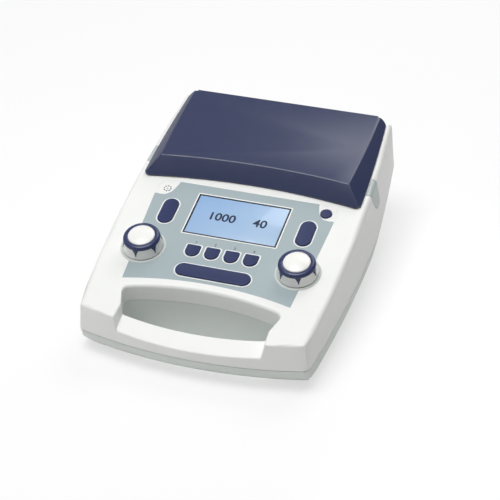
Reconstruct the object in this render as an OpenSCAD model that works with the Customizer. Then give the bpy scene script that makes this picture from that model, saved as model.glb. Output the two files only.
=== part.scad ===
// Portable audiometer: a wedge-shaped case with a carrying handle at the front,
// a tilted control panel with a display, two dials and soft keys, and a storage
// well at the back under a hinged lid with a press latch on each side.
// Front is -Y and up is +Z. The origin lies under the middle of the case.
// Panel sizes are (u, v, n): across the panel, up its slope, and out of it.

/* [Case] */
// Greatest width of the case
case_w = 295; // [285:1:356]
// Length of the case from front to back
case_l = 412; // [400:1:496]
// Radius of the barrelled sides in plan
barrel_r = 1810; // [1500:10:2500]
// Radius of the bowed front in plan
front_r = 536; // [480:1:700]
// Radius of the bowed back in plan
back_r = 900; // [700:10:1400]
// Radius of the front corners in plan
front_corner_r = 14; // [10:1:18]
// Radius of the back corners in plan
back_corner_r = 30; // [20:1:36]
// Wall thickness of both shells
wall = 3; // [2.4:0.1:3.6]
// Height of the underside above the table
ground_gap = 4; // [3:0.5:5]
// Tilt of the control panel
panel_tilt = 12; // [10:1:14]
// Height of the panel's zero point above the table
panel_h = 84.2; // [78:0.1:96]
// Distance from the front of the case to the panel's zero point
panel_from_front = 119; // [116:1:124]
// Rounding of the long top edges
rim_r = 11; // [9:1:13]
// Rounding under the front edge
chin_r = 26; // [20:1:28]
// Height of the front face's top edge
front_edge_h = 59; // [56:1:60]
// Backward lean of the front face over its height
front_lean = 3; // [2:0.5:4]
// Radius of the round back end, seen from the side
nose_r = 56.4; // [50:0.1:58]
// Depth of the back end's centre under the panel plane
nose_depth = 43.5; // [40:0.1:46]
// Slope of the underside up to the back end
underside_slope = 40; // [36:1:44]
// Angle by which the lower side walls turn in
tuck_angle = 35; // [30:1:40]
// Height of the front part of the side crease, at the front corner
crease_h = 15; // [13:1:18]
// Slope of the front part of the side crease
crease_slope = 4.63; // [3:0.1:6]
// Height of the back part of the side crease, at the back end
crease_back_h = 88.5; // [80:0.5:92]
// Slope of the back part of the side crease
crease_back_slope = 18.4; // [16:0.1:20]
// Height of the parting line between the shells, at the front
seam_h = 28.5; // [26:0.5:32]
// Slope of the parting line
seam_slope = 3.15; // [2:0.1:4]
// Gap that shows as the parting line
seam_gap = 0.4; // [0.2:0.05:0.6]

/* [Handle] */
// Width of the hand opening at its back corners
grip_w = 198; // [180:1:200]
// Width of the hand opening at the handle bar
grip_front_w = 170; // [150:1:174]
// Depth of the handle bar from the front
bar_depth = 21; // [19:0.5:24]
// Distance from the front of the case to the middle of the opening's back edge
grip_back = 70; // [66:1:71]
// Radius of the opening's arched back edge
grip_arch_r = 339; // [320:1:400]
// Corner radius of the hand opening
grip_corner_r = 8; // [6:1:10]
// Height of the handle bar at its back edge
bar_h = 53.3; // [50:0.1:55]
// Slope of the handle bar's top
bar_slope = 27; // [24:1:30]
// Width of the step in the front edge, at the bar
step_w = 170.6; // [150:0.1:174]
// Outward lean of the step's sides
step_lean = 13; // [8:1:16]
// Depth under the panel at which the two shells meet inside the opening
lining_depth = 20; // [16:1:24]

/* [Overlay] */
// Thickness of the face sheet
overlay_t = 0.8; // [0.6:0.1:1]
// Half width of the face sheet at the top
overlay_top_u = 111.2; // [108:0.1:112]
// Half width of the face sheet at its lower corners
overlay_low_u = 100.1; // [96:0.1:104]
// Height of the face sheet's top edge on the panel
overlay_top_v = 111.3; // [108:0.1:112]
// Height of the face sheet's lower corners on the panel
overlay_low_v = -51; // [-53:0.5:-48]
// Height of the middle of its lower edge
overlay_mid_v = -39.8; // [-42:0.1:-38]
// Corner radius of the face sheet
overlay_corner_r = 11; // [6:1:14]
// Clearance round the face sheet in its pocket
overlay_gap = 0.15; // [0.1:0.05:0.3]

/* [Display] */
// Width of the display window
window_w = 114.2; // [100:0.2:118]
// Height of the display window
window_h = 64.8; // [50:0.2:66]
// Height of the window's middle on the panel
window_v = 64.4; // [62:0.2:66]
// Thickness of the window
window_t = 1.2; // [1:0.1:1.4]
// Width of the rim that the window rests on
window_rest = 3.2; // [2:0.1:4]
// Thickness of the foam gasket
gasket_t = 1; // [0.6:0.1:1.2]

/* [Keys] */
// Distance of the upright oval keys from the middle
oval_u = 84.8; // [82:0.1:88]
// Height of the oval keys on the panel
oval_v = 61.2; // [56:0.1:66]
// Half width of the oval keys and of the long bar
oval_r = 9.4; // [8:0.1:9.6]
// Half length of the straight part of the oval keys
oval_run = 10.7; // [8:0.1:12]
// Distance between the four keys in the row
row_pitch = 23.5; // [21.5:0.1:25]
// Half width of the keys in the row
row_r = 8.5; // [7:0.1:9]
// Height of the centre of their round ends
row_v = 5.5; // [4:0.1:7]
// Length of their straight sides
row_run = 9.2; // [7:0.1:10]
// Height of the long bar on the panel
bar_v = -24.4; // [-25:0.1:-23]
// Half length of the straight part of the long bar
bar_run = 35.7; // [28:0.1:38]
// Distance of the small round key from the middle
round_u = 98.8; // [97:0.1:100]
// Height of the small round key and of the grille
round_v = 97.4; // [96:0.1:98]
// Radius of the small round key
round_r = 7.2; // [6:0.1:7.6]
// Height of the keys above the face
key_rise = 1.9; // [1.5:0.1:2.4]
// Clearance round each key
key_gap = 0.3; // [0.2:0.05:0.4]

/* [Dials] */
// Distance of the dials from the middle
dial_u = 93.7; // [92:0.1:96]
// Radius of the dial's foot
dial_r = 23.8; // [20:0.1:24.5]
// Radius of the dial's shoulder
dial_top_r = 21; // [17:0.1:21.4]
// Height of the dial's shoulder above the face
dial_h = 15.5; // [13:0.1:18]
// Radius of the domed cap
cap_r = 15.7; // [12:0.1:16]
// Height of the dome
cap_rise = 2.9; // [2:0.1:3.5]
// Number of pointed tabs round the dial
tab_count = 6; // [4:1:8]
// Radius of the dial shaft
shaft_r = 3; // [2.5:0.1:3.2]
// Running clearance of the shafts and pins, on the radius
running_gap = 0.05; // [0.03:0.01:0.08]

/* [Lid] */
// Distance of the lid's sides inside the case's sides
lid_inset = 12; // [11:0.5:14]
// Middle of the lid's front edge on the panel
lid_front_v = 123; // [122:0.5:126]
// Radius of the lid's front edge in plan
lid_front_r = 813; // [700:1:1000]
// Height of the lid's front crease above the face
lid_h = 19.2; // [16:0.1:22]
// Run of the front bevel
lid_bevel = 19; // [16:0.5:22]
// Gap between the lid's edge and the deck
lid_gap = 1; // [0.8:0.1:1.2]
// Wall thickness of the lid
lid_wall = 2.5; // [2:0.1:3]
// Corner radius of the lid's front corners
lid_corner_r = 7; // [5:1:9]
// Radius of the lid's round back edge about the hinge
hinge_r = 4.7; // [4.4:0.1:5]
// Radius of the hinge pins
hinge_pin_r = 1.25; // [1:0.05:1.4]
// Distance of the hinge ears from the middle
ear_u = 70; // [50:1:90]
// Width of a hinge ear
ear_w = 14; // [10:1:18]

/* [Storage well] */
// Outer width of the tray
tray_w = 194; // [170:1:195]
// Distance from the lid's front edge to the tray
tray_front = 17; // [15:1:22]
// Depth of the tray
tray_depth = 60; // [45:1:62]
// Wall thickness of the tray
tray_wall = 2; // [1.6:0.1:2.5]
// Width of the tray's flange
flange_w = 4; // [3:0.5:5]

/* [Latches] */
// Thickness of the latch's skin
latch_t = 2.2; // [2:0.1:2.4]
// Distance of the latch pins inside the case's sides
latch_in = 6.5; // [6:0.1:7]
// Depth of the latch pins under the panel plane
latch_n = -24; // [-26:1:-22]
// Middle of the latches on the panel
latch_v = 155; // [150:1:160]
// Radius of the latch pins
latch_pin_r = 1; // [0.8:0.1:1.2]
// Gap round the latches
latch_gap = 0.6; // [0.5:0.1:0.8]

/* [Back panel] */
// Width of the socket bay
bay_w = 180; // [170:1:190]
// Height of the socket bay
bay_h = 26; // [24:1:28]
// Depth of the socket bay from the back end
bay_depth = 18; // [16:1:20]
// Distance between the audio sockets
socket_pitch = 22; // [18:1:24]
// Radius of the audio sockets' bores
socket_bore_r = 3.25; // [3.2:0.05:3.4]
// Depth of the audio sockets' bores
socket_depth = 16; // [14:1:17]

/* [Feet and screws] */
// Radius of the feet
foot_r = 9; // [7:0.5:11]
// Height of the feet's tops inside their seats
foot_sink = 1; // [0.8:0.1:1.4]
// Radius of the case screws
screw_r = 1.5; // [1.2:0.1:1.8]
// Radius of the screw bosses
boss_r = 4.5; // [4:0.1:5]

/* [Hidden] */
$fn = 64;
fine = 256;
far = 700;
half_w = case_w / 2;
half_l = case_l / 2;
panel_y = panel_from_front - half_l;
barrel_x = barrel_r - half_w;
barrel_y = 8;
barrel_v = (barrel_y - panel_y) / cos(panel_tilt);
front_axis_y = front_r - half_l;
back_axis_y = half_l - back_r;
nose_y = half_l - nose_r;
nose_z = panel_h + (nose_y - panel_y) * tan(panel_tilt) - nose_depth / cos(panel_tilt);
deck_end_y = nose_y + sqrt(nose_r * nose_r - nose_depth * nose_depth) * cos(panel_tilt)
    - nose_depth * sin(panel_tilt);
deck_end_v = (deck_end_y - panel_y) / cos(panel_tilt);
corner_y = 18 - half_l;
pocket_floor = -overlay_t;
shell_under = -overlay_t - 2.4;
mat_n = -10.2;
board_n = -11.4;
board_t = 1.6;
flange_n = shell_under - 0.2;
key_flange = 1.6;
hinge_v = deck_end_v - 5.6;
hinge_n = hinge_r + 0.5;
lid_low_n = hinge_n + hinge_r - 0.2;
lid_slope = atan((lid_h - lid_low_n) / (hinge_v - lid_front_v - lid_bevel / 2));
tray_v0 = lid_front_v + tray_front;
tray_v1 = hinge_v - 17;
flange_t = 1.6;
latch_pocket = 4.6;
latch_block = 9;
row_us = [-1.5, -0.5, 0.5, 1.5];
shell_screw_at = [[-120, corner_y + 20], [120, corner_y + 20], [-104, 100], [104, 100]];
foot_at = [[-110, corner_y + 38], [110, corner_y + 38], [-92, 88], [92, 88]];
board_screw_at = [[-104, -30], [104, -30], [-72, 104], [72, 104]];
bay_z = nose_z + 18;
bay_plate_y = half_l - bay_depth;
socket_xs = [-3, -2, -1, 0, 1];
speaker_at = [55, -20];
white = "#e9e8e1";
sage = "#c2c9bf";
slate = "#a9b8bd";
navy = "#36406b";
steel = "#b9bcc0";
dark = "#2b2d31";
green = "#2f6b4a";

// Places children in the panel's own frame
module on_panel() {
    translate([0, panel_y, panel_h]) rotate([panel_tilt, 0, 0]) children();
}

// Mirrors a copy of the children to the other side
module both_sides() {
    children();
    mirror([1, 0, 0]) children();
}

// A stadium: a slot with round ends that runs along x
module stadium(run, r) {
    square([2 * run, 2 * r], center = true);
    for (side = [-1, 1]) translate([side * run, 0]) circle(r = r);
}

// Outline of the case in plan, moved in by a distance
module plan_outline(inset) {
    offset(r = front_corner_r - inset) offset(delta = -front_corner_r) intersection() {
        translate([-barrel_x, barrel_y]) circle(r = barrel_r, $fn = 720);
        translate([barrel_x, barrel_y]) circle(r = barrel_r, $fn = 720);
        translate([0, front_axis_y]) circle(r = front_r + 0.3, $fn = 360);
        union() {
            translate([-far, -2 * far]) square(2 * far);
            offset(r = back_corner_r) offset(delta = -back_corner_r) intersection() {
                translate([-barrel_x, barrel_y]) circle(r = barrel_r, $fn = 720);
                translate([barrel_x, barrel_y]) circle(r = barrel_r, $fn = 720);
                translate([0, back_axis_y]) circle(r = back_r + 0.3, $fn = 540);
            }
        }
    }
}

// Solid that ends in the bowed front face with its round chin
module front_form(inset) {
    z0 = ground_gap + chin_r;
    lean = front_lean / (front_edge_h - z0);
    r = chin_r - inset;
    translate([0, front_axis_y, 0]) rotate_extrude($fn = fine) polygon(concat(
        [[0, -40], [front_r - chin_r, -40]],
        [for (a = [-90 : 11.25 : 0]) [front_r - chin_r + r * cos(a), z0 - 0.1 + r * sin(a)]],
        [[front_r - inset - front_lean, front_edge_h],
        [front_r - inset - front_lean - 1.4, front_edge_h + 2.6 - inset / 2],
        [front_r - inset - front_lean - 40, front_edge_h + 22 - inset],
        [0, far]]));
}

// Solid that ends in the round back and in the sloping and flat undersides
module rear_form(inset) {
    r = nose_r - inset;
    low = underside_slope - 90;
    floor_z = ground_gap + inset;
    nose_at = back_r - nose_r;
    slope_run = (nose_z + r * sin(low) - floor_z) / tan(underside_slope);
    translate([0, back_axis_y, 0]) rotate_extrude($fn = fine) polygon(concat(
        [[0, floor_z], [nose_at + r * cos(low) - slope_run, floor_z]],
        [for (i = [0 : 15]) let (a = low + i * 8) [nose_at + r * cos(a), nose_z + r * sin(a)]],
        [[nose_at + r * cos(low + 120), far], [0, far]]));
}

// Solid under the panel plane
module below_panel(inset) {
    on_panel() translate([-far, -far, -far - inset]) cube([2 * far, 2 * far, far]);
}

// Solid that ends in the rounded long edge of one side
module rim_form(side, inset) {
    r = rim_r - inset;
    on_panel() translate([-side * barrel_x, barrel_v, 0]) rotate_extrude($fn = fine) polygon(
        concat([[barrel_r - far, -far / 2], [barrel_r + 40, -far / 2]],
        [for (a = [0 : 18 : 90]) [barrel_r - rim_r + 0.35 + r * cos(a), r * sin(a) - rim_r + 0.1]],
        [[barrel_r - rim_r - 60, 12 - inset], [barrel_r - far, far / 3]]));
}

// Cone that turns the lower side wall in, under a crease through one point
module tuck_form(side, inset, y, z, slope) {
    drop = 300;
    r = barrel_r + 0.5 - inset / cos(tuck_angle);
    axis_z = z + (barrel_y - y) * tan(slope);
    translate([-side * barrel_x, barrel_y, axis_z]) rotate([slope, 0, 0])
        translate([0, 0, -drop])
        cylinder(h = 3 * drop, r1 = r - drop * tan(tuck_angle), r2 = r + 2 * drop * tan(tuck_angle),
            $fn = fine);
}

// Outer form of the whole case, moved in by a distance
module case_form(inset) {
    intersection() {
        translate([0, 0, -20]) linear_extrude(height = far / 2) plan_outline(inset);
        front_form(inset);
        rear_form(inset);
        below_panel(inset);
        rim_form(1, inset);
        rim_form(-1, inset);
        tuck_form(1, inset, corner_y + 4, crease_h, crease_slope);
        tuck_form(-1, inset, corner_y + 4, crease_h, crease_slope);
        tuck_form(1, inset, half_l, crease_back_h, crease_back_slope);
        tuck_form(-1, inset, half_l, crease_back_h, crease_back_slope);
    }
}

// Outer form of the right arm beside its latch, moved in by a distance
module side_form(inset) {
    off = (latch_v - barrel_v) * cos(panel_tilt);
    lean = off * sin(panel_tilt) / barrel_r;
    reach = 60;
    r = rim_r - inset;
    on_panel() translate([sqrt(barrel_r * barrel_r - off * off) - barrel_x, latch_v, 0])
        rotate([0, 0, atan(off * cos(panel_tilt) / barrel_r)]) rotate([90, 0, 0])
        linear_extrude(height = 2 * reach, center = true) intersection() {
            polygon([[-inset, -inset], [-inset - lean * reach, -reach], [-reach, -reach],
                [-reach, -inset]]);
            polygon(concat([[-reach - 10, 0], [-reach - 10, -2 * reach], [10, -2 * reach]],
                [for (a = [0 : 18 : 90]) [0.35 - rim_r + r * cos(a), r * sin(a) - rim_r + 0.1]]));
        }
}

// Hand opening in plan, moved out by a distance
module grip_outline(grow) {
    back_y = grip_back - half_l;
    bar_y = bar_depth - half_l;
    offset(r = grip_corner_r + grow) offset(delta = -grip_corner_r) intersection() {
        translate([0, back_y - grip_arch_r]) circle(r = grip_arch_r, $fn = 360);
        translate([0, front_axis_y]) circle(r = front_r - bar_depth, $fn = 540);
        polygon([[-grip_w / 2, back_y - 4], [-grip_front_w / 2, bar_y + 3],
            [-grip_front_w / 2, bar_y - 20], [grip_front_w / 2, bar_y - 20],
            [grip_front_w / 2, bar_y + 3], [grip_w / 2, back_y - 4],
            [grip_w / 2, back_y + 30], [-grip_w / 2, back_y + 30]]);
    }
}

// Block that cuts the hand opening
module grip_cut(grow) {
    translate([0, 0, -20]) linear_extrude(height = far / 2) grip_outline(grow);
}

// Block that cuts the step over the handle bar
module bar_cut(drop) {
    reach = 60;
    rise = 60;
    translate([0, bar_depth + 7 - half_l, bar_h]) rotate([bar_slope, 0, 0])
        translate([0, reach / 3, -drop]) rotate([90, 0, 0]) linear_extrude(height = reach)
        polygon([[-step_w / 2 - drop, 0], [step_w / 2 + drop, 0],
            [step_w / 2 + drop + rise * tan(step_lean), rise],
            [-step_w / 2 - drop - rise * tan(step_lean), rise]]);
}

// Space above the parting line, outside the lower lining of the opening, let down by a distance
module above_seam(drop) {
    difference() {
        translate([0, -half_l, seam_h - drop]) rotate([seam_slope, 0, 0])
            translate([-far, -far, 0]) cube([2 * far, 2 * far, far]);
        low_lining(drop);
    }
}

// Space of the lower shell's lining round the hand opening, let down by a distance
module low_lining(drop) {
    intersection() {
        grip_cut(wall + 0.8);
        on_panel() translate([-far, -far, -far - lining_depth - drop])
            cube([2 * far, 2 * far, far]);
    }
}

// Both shells together, hollow
module hollow_case() {
    difference() {
        case_form(0);
        difference() {
            case_form(wall);
            grip_cut(wall);
            bar_cut(wall);
        }
        grip_cut(0);
        bar_cut(0);
    }
}

// Height of the parting line at a place
function seam_z(y) = seam_h + (y + half_l) * tan(seam_slope);

// Height of the panel's inner face at a place
function roof_z(y) = panel_h + (y - panel_y) * tan(panel_tilt) - wall / cos(panel_tilt);

// Outline of the key in the row, with its flat side up
module row_outline(grow) {
    w = row_r + grow;
    top = row_run + grow;
    cut = 1.6;
    circle(r = w);
    polygon([[-w, 0], [w, 0], [w, top - cut], [w - cut, top], [cut - w, top], [-w, top - cut]]);
}

// Outline of a key by its kind
module key_outline(kind, grow) {
    if (kind == "oval") rotate(90) stadium(oval_run, oval_r + grow);
    if (kind == "row") row_outline(grow);
    if (kind == "bar") stadium(bar_run, oval_r + grow);
    if (kind == "round") circle(r = round_r + grow);
}

// One key: its cap, the flange under the panel and the stem over the mat
module key(kind, u, v) {
    color(navy) on_panel() translate([u, v, 0]) {
        translate([0, 0, flange_n]) linear_extrude(height = key_rise - flange_n)
            key_outline(kind, -key_gap);
        translate([0, 0, flange_n - key_flange]) linear_extrude(height = key_flange)
            key_outline(kind, 0.9);
        translate([0, 0, -8]) cylinder(h = 8 + flange_n - key_flange + 0.4, r = 3.2);
    }
}

// All key openings through the panel
module key_holes() {
    through = 8;
    translate([0, 0, shell_under - 1]) linear_extrude(height = through) {
        for (side = [-1, 1]) translate([side * oval_u, oval_v]) key_outline("oval", 0);
        for (i = row_us) translate([i * row_pitch, row_v]) key_outline("row", 0);
        translate([0, bar_v]) key_outline("bar", 0);
    }
}

// Opening of the round key, in the white corner
module round_hole() {
    translate([round_u, round_v, shell_under - 1]) cylinder(h = 8, r = round_r);
}

// Face sheet with sharp corners
module overlay_blank() {
    sag = overlay_mid_v - overlay_low_v;
    arch_r = (96 * 96 + sag * sag) / (2 * sag);
    difference() {
        polygon([[-overlay_top_u, overlay_top_v], [-overlay_top_u, 88], [-108, 30], [-102, -26],
            [-overlay_low_u, overlay_low_v - 4], [overlay_low_u, overlay_low_v - 4], [102, -26],
            [108, 30], [overlay_top_u, 88], [overlay_top_u, overlay_top_v]]);
        translate([0, overlay_mid_v - arch_r]) circle(r = arch_r, $fn = 360);
    }
}

// Outline of the face sheet, round at its upper corners, before the white corners are cut
module overlay_outline(grow) {
    offset(delta = grow) {
        offset(r = overlay_corner_r) offset(delta = -overlay_corner_r) overlay_blank();
        intersection() {
            overlay_blank();
            translate([-far, -far]) square([2 * far, far]);
        }
    }
}

// Bare white corner round the grille or the round key
module corner_patch(side, grow) {
    offset(r = 4 + grow) offset(delta = -4) polygon([[side * 109, 109], [side * 88, 109],
        [side * 89, 101], [side * 92, 93], [side * 98, 87.5], [side * 109, 86]]);
}

// Face sheet in plan
module overlay_shape(grow) {
    difference() {
        overlay_outline(grow);
        for (side = [-1, 1]) corner_patch(side, -grow);
    }
}

// Openings of the face sheet
module overlay_holes() {
    for (side = [-1, 1]) {
        translate([side * oval_u, oval_v]) key_outline("oval", 0.1);
        translate([side * dial_u, 0]) circle(r = shaft_r + 1.2);
    }
    for (i = row_us) translate([i * row_pitch, row_v]) key_outline("row", 0.1);
    translate([0, bar_v]) key_outline("bar", 0.1);
    translate([0, window_v]) square([window_w + 0.3, window_h + 0.3], center = true);
}

// Leaf-shaped outline of a latch on the side wall, as (v, n)
module leaf_outline(grow) {
    offset(delta = grow) translate([latch_v - 155, 0]) polygon([[136.5, 5], [138, 0],
        [145.5, -21], [150.5, -30.5], [156.5, -37.5], [161, -39.4], [164.5, -39.5],
        [168.5, -38.5], [170, -36], [169, -22], [165, 0], [164.2, 5]]);
}

// Leaf outline as a block through the right wall and its top edge
module leaf_block(grow) {
    on_panel() translate([half_w - 9 - grow, 0, 0]) rotate([90, 0, 90])
        linear_extrude(height = 30) leaf_outline(grow);
}

// Places children on the right latch pin's axis, which runs along the children's z
module on_latch_axis() {
    on_panel() translate([half_w - latch_in, latch_v, latch_n]) rotate([-90, 0, 0]) children();
}

// Pocket for the right latch
module latch_pocket_cut() {
    difference() {
        leaf_block(latch_gap);
        side_form(latch_pocket);
        latch_cheeks();
    }
    on_latch_axis() cylinder(h = 10.6, r = 3.2, center = true);
}

// Thicker wall behind the latches
module latch_backing() {
    intersection() {
        side_form(wall - 0.1);
        on_panel() translate([half_w - latch_block, 0, 0]) rotate([90, 0, 90])
            linear_extrude(height = 30) leaf_outline(3.4);
    }
}

// Cheeks that carry the right latch pin
module latch_cheeks() {
    for (side = [-1, 1]) on_latch_axis() translate([0, 0, side * 7.2])
        cylinder(h = 3.8, r = 2.4, center = true);
}

// Ears of the lid's hinge on the deck, with their feet
module hinge_ears() {
    foot = 2;
    for (side = [-1, 1]) on_panel() translate([side * ear_u, hinge_v, 0]) {
        translate([0, 0, hinge_n]) rotate([0, 90, 0]) cylinder(h = ear_w, r = hinge_r - 1.4,
            center = true);
        translate([-ear_w / 2, -foot, -1]) cube([ear_w, 2 * foot, hinge_n + 1]);
    }
}

// Opening of the storage well in the deck, moved out by a distance
module tray_outline(grow) {
    translate([-tray_w / 2 - grow, tray_v0 - grow])
        square([tray_w + 2 * grow, tray_v1 - tray_v0 + 2 * grow]);
}

// Hanging bosses of the upper shell, and the posts that carry the board
module upper_bosses() {
    for (p = shell_screw_at) translate([p.x, p.y, seam_z(p.y) + 0.3])
        cylinder(h = roof_z(p.y) - seam_z(p.y), r = boss_r);
    on_panel() for (p = board_screw_at) translate([p.x, p.y, board_n])
        cylinder(h = shell_under - board_n + 0.4, r = 3);
}

module upper_shell() {
    color(white) difference() {
        union() {
            intersection() {
                union() {
                    hollow_case();
                    both_sides() latch_backing();
                }
                above_seam(0);
            }
            upper_bosses();
            hinge_ears();
        }
        both_sides() latch_pocket_cut();
        both_sides() on_latch_axis() cylinder(h = 17.4, r = latch_pin_r + 0.02, center = true);
        for (p = shell_screw_at) translate([p.x, p.y, 0])
            cylinder(h = seam_z(p.y) + 10.4, r = screw_r + 0.02);
        translate([-bay_w / 2, bay_plate_y, bay_z - bay_h / 2]) cube([bay_w, 40, bay_h]);
        on_panel() {
            translate([0, 0, pocket_floor]) linear_extrude(height = 4) overlay_shape(overlay_gap);
            key_holes();
            round_hole();
            translate([0, window_v, pocket_floor - window_t + overlay_t])
                linear_extrude(height = 4)
                square([window_w + 0.3, window_h + 0.3], center = true);
            translate([0, window_v, -10]) linear_extrude(height = 12)
                square([window_w - 2 * window_rest, window_h - 2 * window_rest], center = true);
            for (side = [-1, 1]) translate([side * dial_u, 0, -10])
                cylinder(h = 12, r = shaft_r + 0.8);
            translate([-round_u, round_v, -10]) {
                cylinder(h = 12, r = 0.9, $fn = 24);
                for (a = [0 : 45 : 315]) rotate(a) translate([4.2, 0, 0])
                    cylinder(h = 12, r = 1, $fn = 24);
            }
            translate([0, 0, -10]) linear_extrude(height = 12) tray_outline(0.4);
            translate([0, 0, -flange_t - 0.1]) linear_extrude(height = 4)
                tray_outline(flange_w + 0.4);
            for (side = [-1, 1]) translate([side * ear_u, hinge_v, hinge_n]) rotate([0, 90, 0])
                cylinder(h = ear_w + 2, r = hinge_pin_r + 0.02, center = true);
            for (p = board_screw_at) translate([p.x, p.y, board_n - 1])
                cylinder(h = 7, r = 1.02, $fn = 32);
        }
    }
}

module lower_shell() {
    color(sage) difference() {
        union() {
            difference() {
                hollow_case();
                above_seam(seam_gap);
            }
            for (p = shell_screw_at) translate([p.x, p.y, ground_gap + 1])
                cylinder(h = seam_z(p.y) - ground_gap - 1, r = boss_r);
            translate([speaker_at.x, speaker_at.y, ground_gap + 1]) difference() {
                cylinder(h = wall + 7, r = 24);
                cylinder(h = wall + 20, r = 22);
            }
        }
        for (p = shell_screw_at) translate([p.x, p.y, -1]) {
            cylinder(h = 60, r = screw_r + 0.2);
            cylinder(h = ground_gap + 1 + wall, r = 3.6);
        }
        for (p = foot_at) translate([p.x, p.y, -1]) cylinder(h = ground_gap + 1 + foot_sink,
            r = foot_r + 0.1);
        for (i = [-2 : 2]) translate([speaker_at.x + i * 6, speaker_at.y, 0])
            linear_extrude(height = 12) rotate(90) stadium(12 - abs(i) * 2, 1.2);
    }
}

module storage_tray() {
    color(sage) on_panel() difference() {
        union() {
            translate([0, 0, -tray_depth]) linear_extrude(height = tray_depth - 0.1)
                tray_outline(0);
            translate([0, 0, -flange_t]) linear_extrude(height = flange_t - 0.1)
                tray_outline(flange_w);
        }
        translate([0, 0, tray_wall - tray_depth]) linear_extrude(height = tray_depth)
            tray_outline(-tray_wall);
    }
}

// Outline of the lid, moved in by a distance
module lid_outline(inset) {
    r = barrel_r - lid_inset;
    offset(r = lid_corner_r - inset) offset(delta = -lid_corner_r) difference() {
        intersection() {
            translate([-barrel_x, barrel_v]) circle(r = r, $fn = 720);
            translate([barrel_x, barrel_v]) circle(r = r, $fn = 720);
            translate([-far, lid_front_v - 33]) square([2 * far, hinge_v - lid_front_v + 33]);
        }
        translate([0, lid_front_v - lid_front_r]) circle(r = lid_front_r, $fn = 540);
    }
}

// Outer form of the lid up to the hinge axis, moved in by a distance
module lid_form(inset, back_v) {
    lip = 1.5;
    rise = 30;
    side_run = 1.08;
    front_run = lid_bevel / (lid_h - lid_gap - lip);
    base = lid_gap + lip;
    side_r = barrel_r - lid_inset - inset * 1.47;
    front_side = lid_front_r + inset * 1.5;
    difference() {
        intersection() {
            translate([0, 0, lid_gap - 2 * inset]) linear_extrude(height = rise)
                lid_outline(inset);
            intersection_for (side = [-1, 1])
                translate([side * barrel_x, barrel_v, base - rise])
                cylinder(h = 3 * rise, r1 = side_r + side_run * rise,
                    r2 = side_r - 2 * side_run * rise, $fn = fine);
            translate([-far, 0, -far]) cube([2 * far, back_v, 2 * far]);
        }
        translate([0, lid_front_v - lid_front_r, base - rise])
            cylinder(h = 3 * rise, r1 = front_side - front_run * rise,
                r2 = front_side + 2 * front_run * rise, $fn = fine);
        translate([0, hinge_v, lid_low_n - inset]) rotate([-lid_slope, 0, 0])
            translate([-far, -far, 0]) cube([2 * far, 2 * far, far]);
    }
}

// Cut round a hinge ear over the lid's whole swing
module ear_sweep() {
    reach = 8;
    rotate([90, 0, 90]) translate([0, 0, -ear_w / 2 - 0.3]) linear_extrude(height = ear_w + 0.6) {
        circle(r = hinge_r - 1);
        polygon(concat([[0, 0]], [for (a = [-126 : 29 : 48]) reach * [cos(a), sin(a)]]));
    }
}

module lid() {
    color(navy) on_panel() difference() {
        union() {
            difference() {
                lid_form(0, hinge_v + 10);
                lid_form(lid_wall, hinge_v - hinge_r - 2);
            }
            translate([0, hinge_v, hinge_n]) rotate([0, 90, 0])
                cylinder(h = 2 * (half_w - 31), r = hinge_r, center = true);
        }
        for (side = [-1, 1]) translate([side * ear_u, hinge_v, hinge_n]) {
            ear_sweep();
            rotate([0, 90, 0]) cylinder(h = ear_w + 12.2, r = hinge_pin_r + running_gap,
                center = true);
        }
    }
}

module lid_bumpers() {
    color(dark) on_panel() for (side = [-1, 1])
        translate([side * (half_w - lid_inset - lid_wall / 2 - 0.3), lid_front_v + 12, 0])
        translate([-1, -4, 0]) cube([2, 8, lid_gap - 0.3]);
}

module hinge_pins() {
    color(steel) on_panel() for (side = [-1, 1]) translate([side * ear_u, hinge_v, hinge_n])
        rotate([0, 90, 0]) cylinder(h = ear_w + 12, r = hinge_pin_r, center = true);
}

// The right-hand latch: its skin, and the barrel on its pin
module latch() {
    difference() {
        union() {
            difference() {
                intersection() {
                    side_form(0);
                    leaf_block(0);
                }
                side_form(latch_t);
            }
            on_latch_axis() cylinder(h = 10, r = 2.6, center = true);
            on_panel() translate([half_w - latch_in, latch_v - 5, latch_n - 2])
                cube([latch_in - latch_t + 0.2, 10, 4]);
        }
        on_latch_axis() cylinder(h = 12, r = latch_pin_r + running_gap, center = true);
    }
}

module latch_right() {
    color(sage) latch();
}

module latch_left() {
    color(sage) mirror([1, 0, 0]) latch();
}

module latch_pins() {
    color(steel) both_sides() on_latch_axis() cylinder(h = 17, r = latch_pin_r, center = true);
}

module panel_overlay() {
    color(slate) on_panel() translate([0, 0, pocket_floor]) linear_extrude(height = overlay_t)
        difference() {
            overlay_shape(0);
            overlay_holes();
        }
}

module display_window() {
    color("#9fb6cf") on_panel() translate([0, window_v, -window_t])
        linear_extrude(height = window_t) square([window_w, window_h], center = true);
}

module display_gasket() {
    color(dark) on_panel() translate([0, window_v, shell_under - gasket_t])
        linear_extrude(height = gasket_t) difference() {
            square([window_w + 2, window_h + 2], center = true);
            square([window_w - 4, window_h - 4], center = true);
        }
}

module display_module() {
    color(steel) on_panel() translate([-window_w / 2 - 2, window_v - window_h / 2 - 2, board_n])
        cube([window_w + 4, window_h + 4, shell_under - gasket_t - board_n]);
}

// Flat cable between the display and the main board
module display_cable() {
    color("#d98b3c") on_panel() translate([0, window_v + window_h / 2 + 2.2, board_n])
        translate([-15, 0, 0]) cube([30, 0.4, 5]);
}

// Outline of the main board
module board_outline() {
    translate([-108, -36]) square([216, 146]);
}

module main_board() {
    color(green) on_panel() difference() {
        translate([0, 0, board_n - board_t]) linear_extrude(height = board_t) board_outline();
        for (p = board_screw_at) translate([p.x, p.y, board_n - 3])
            cylinder(h = 6, r = 1.2, $fn = 32);
    }
}

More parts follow.
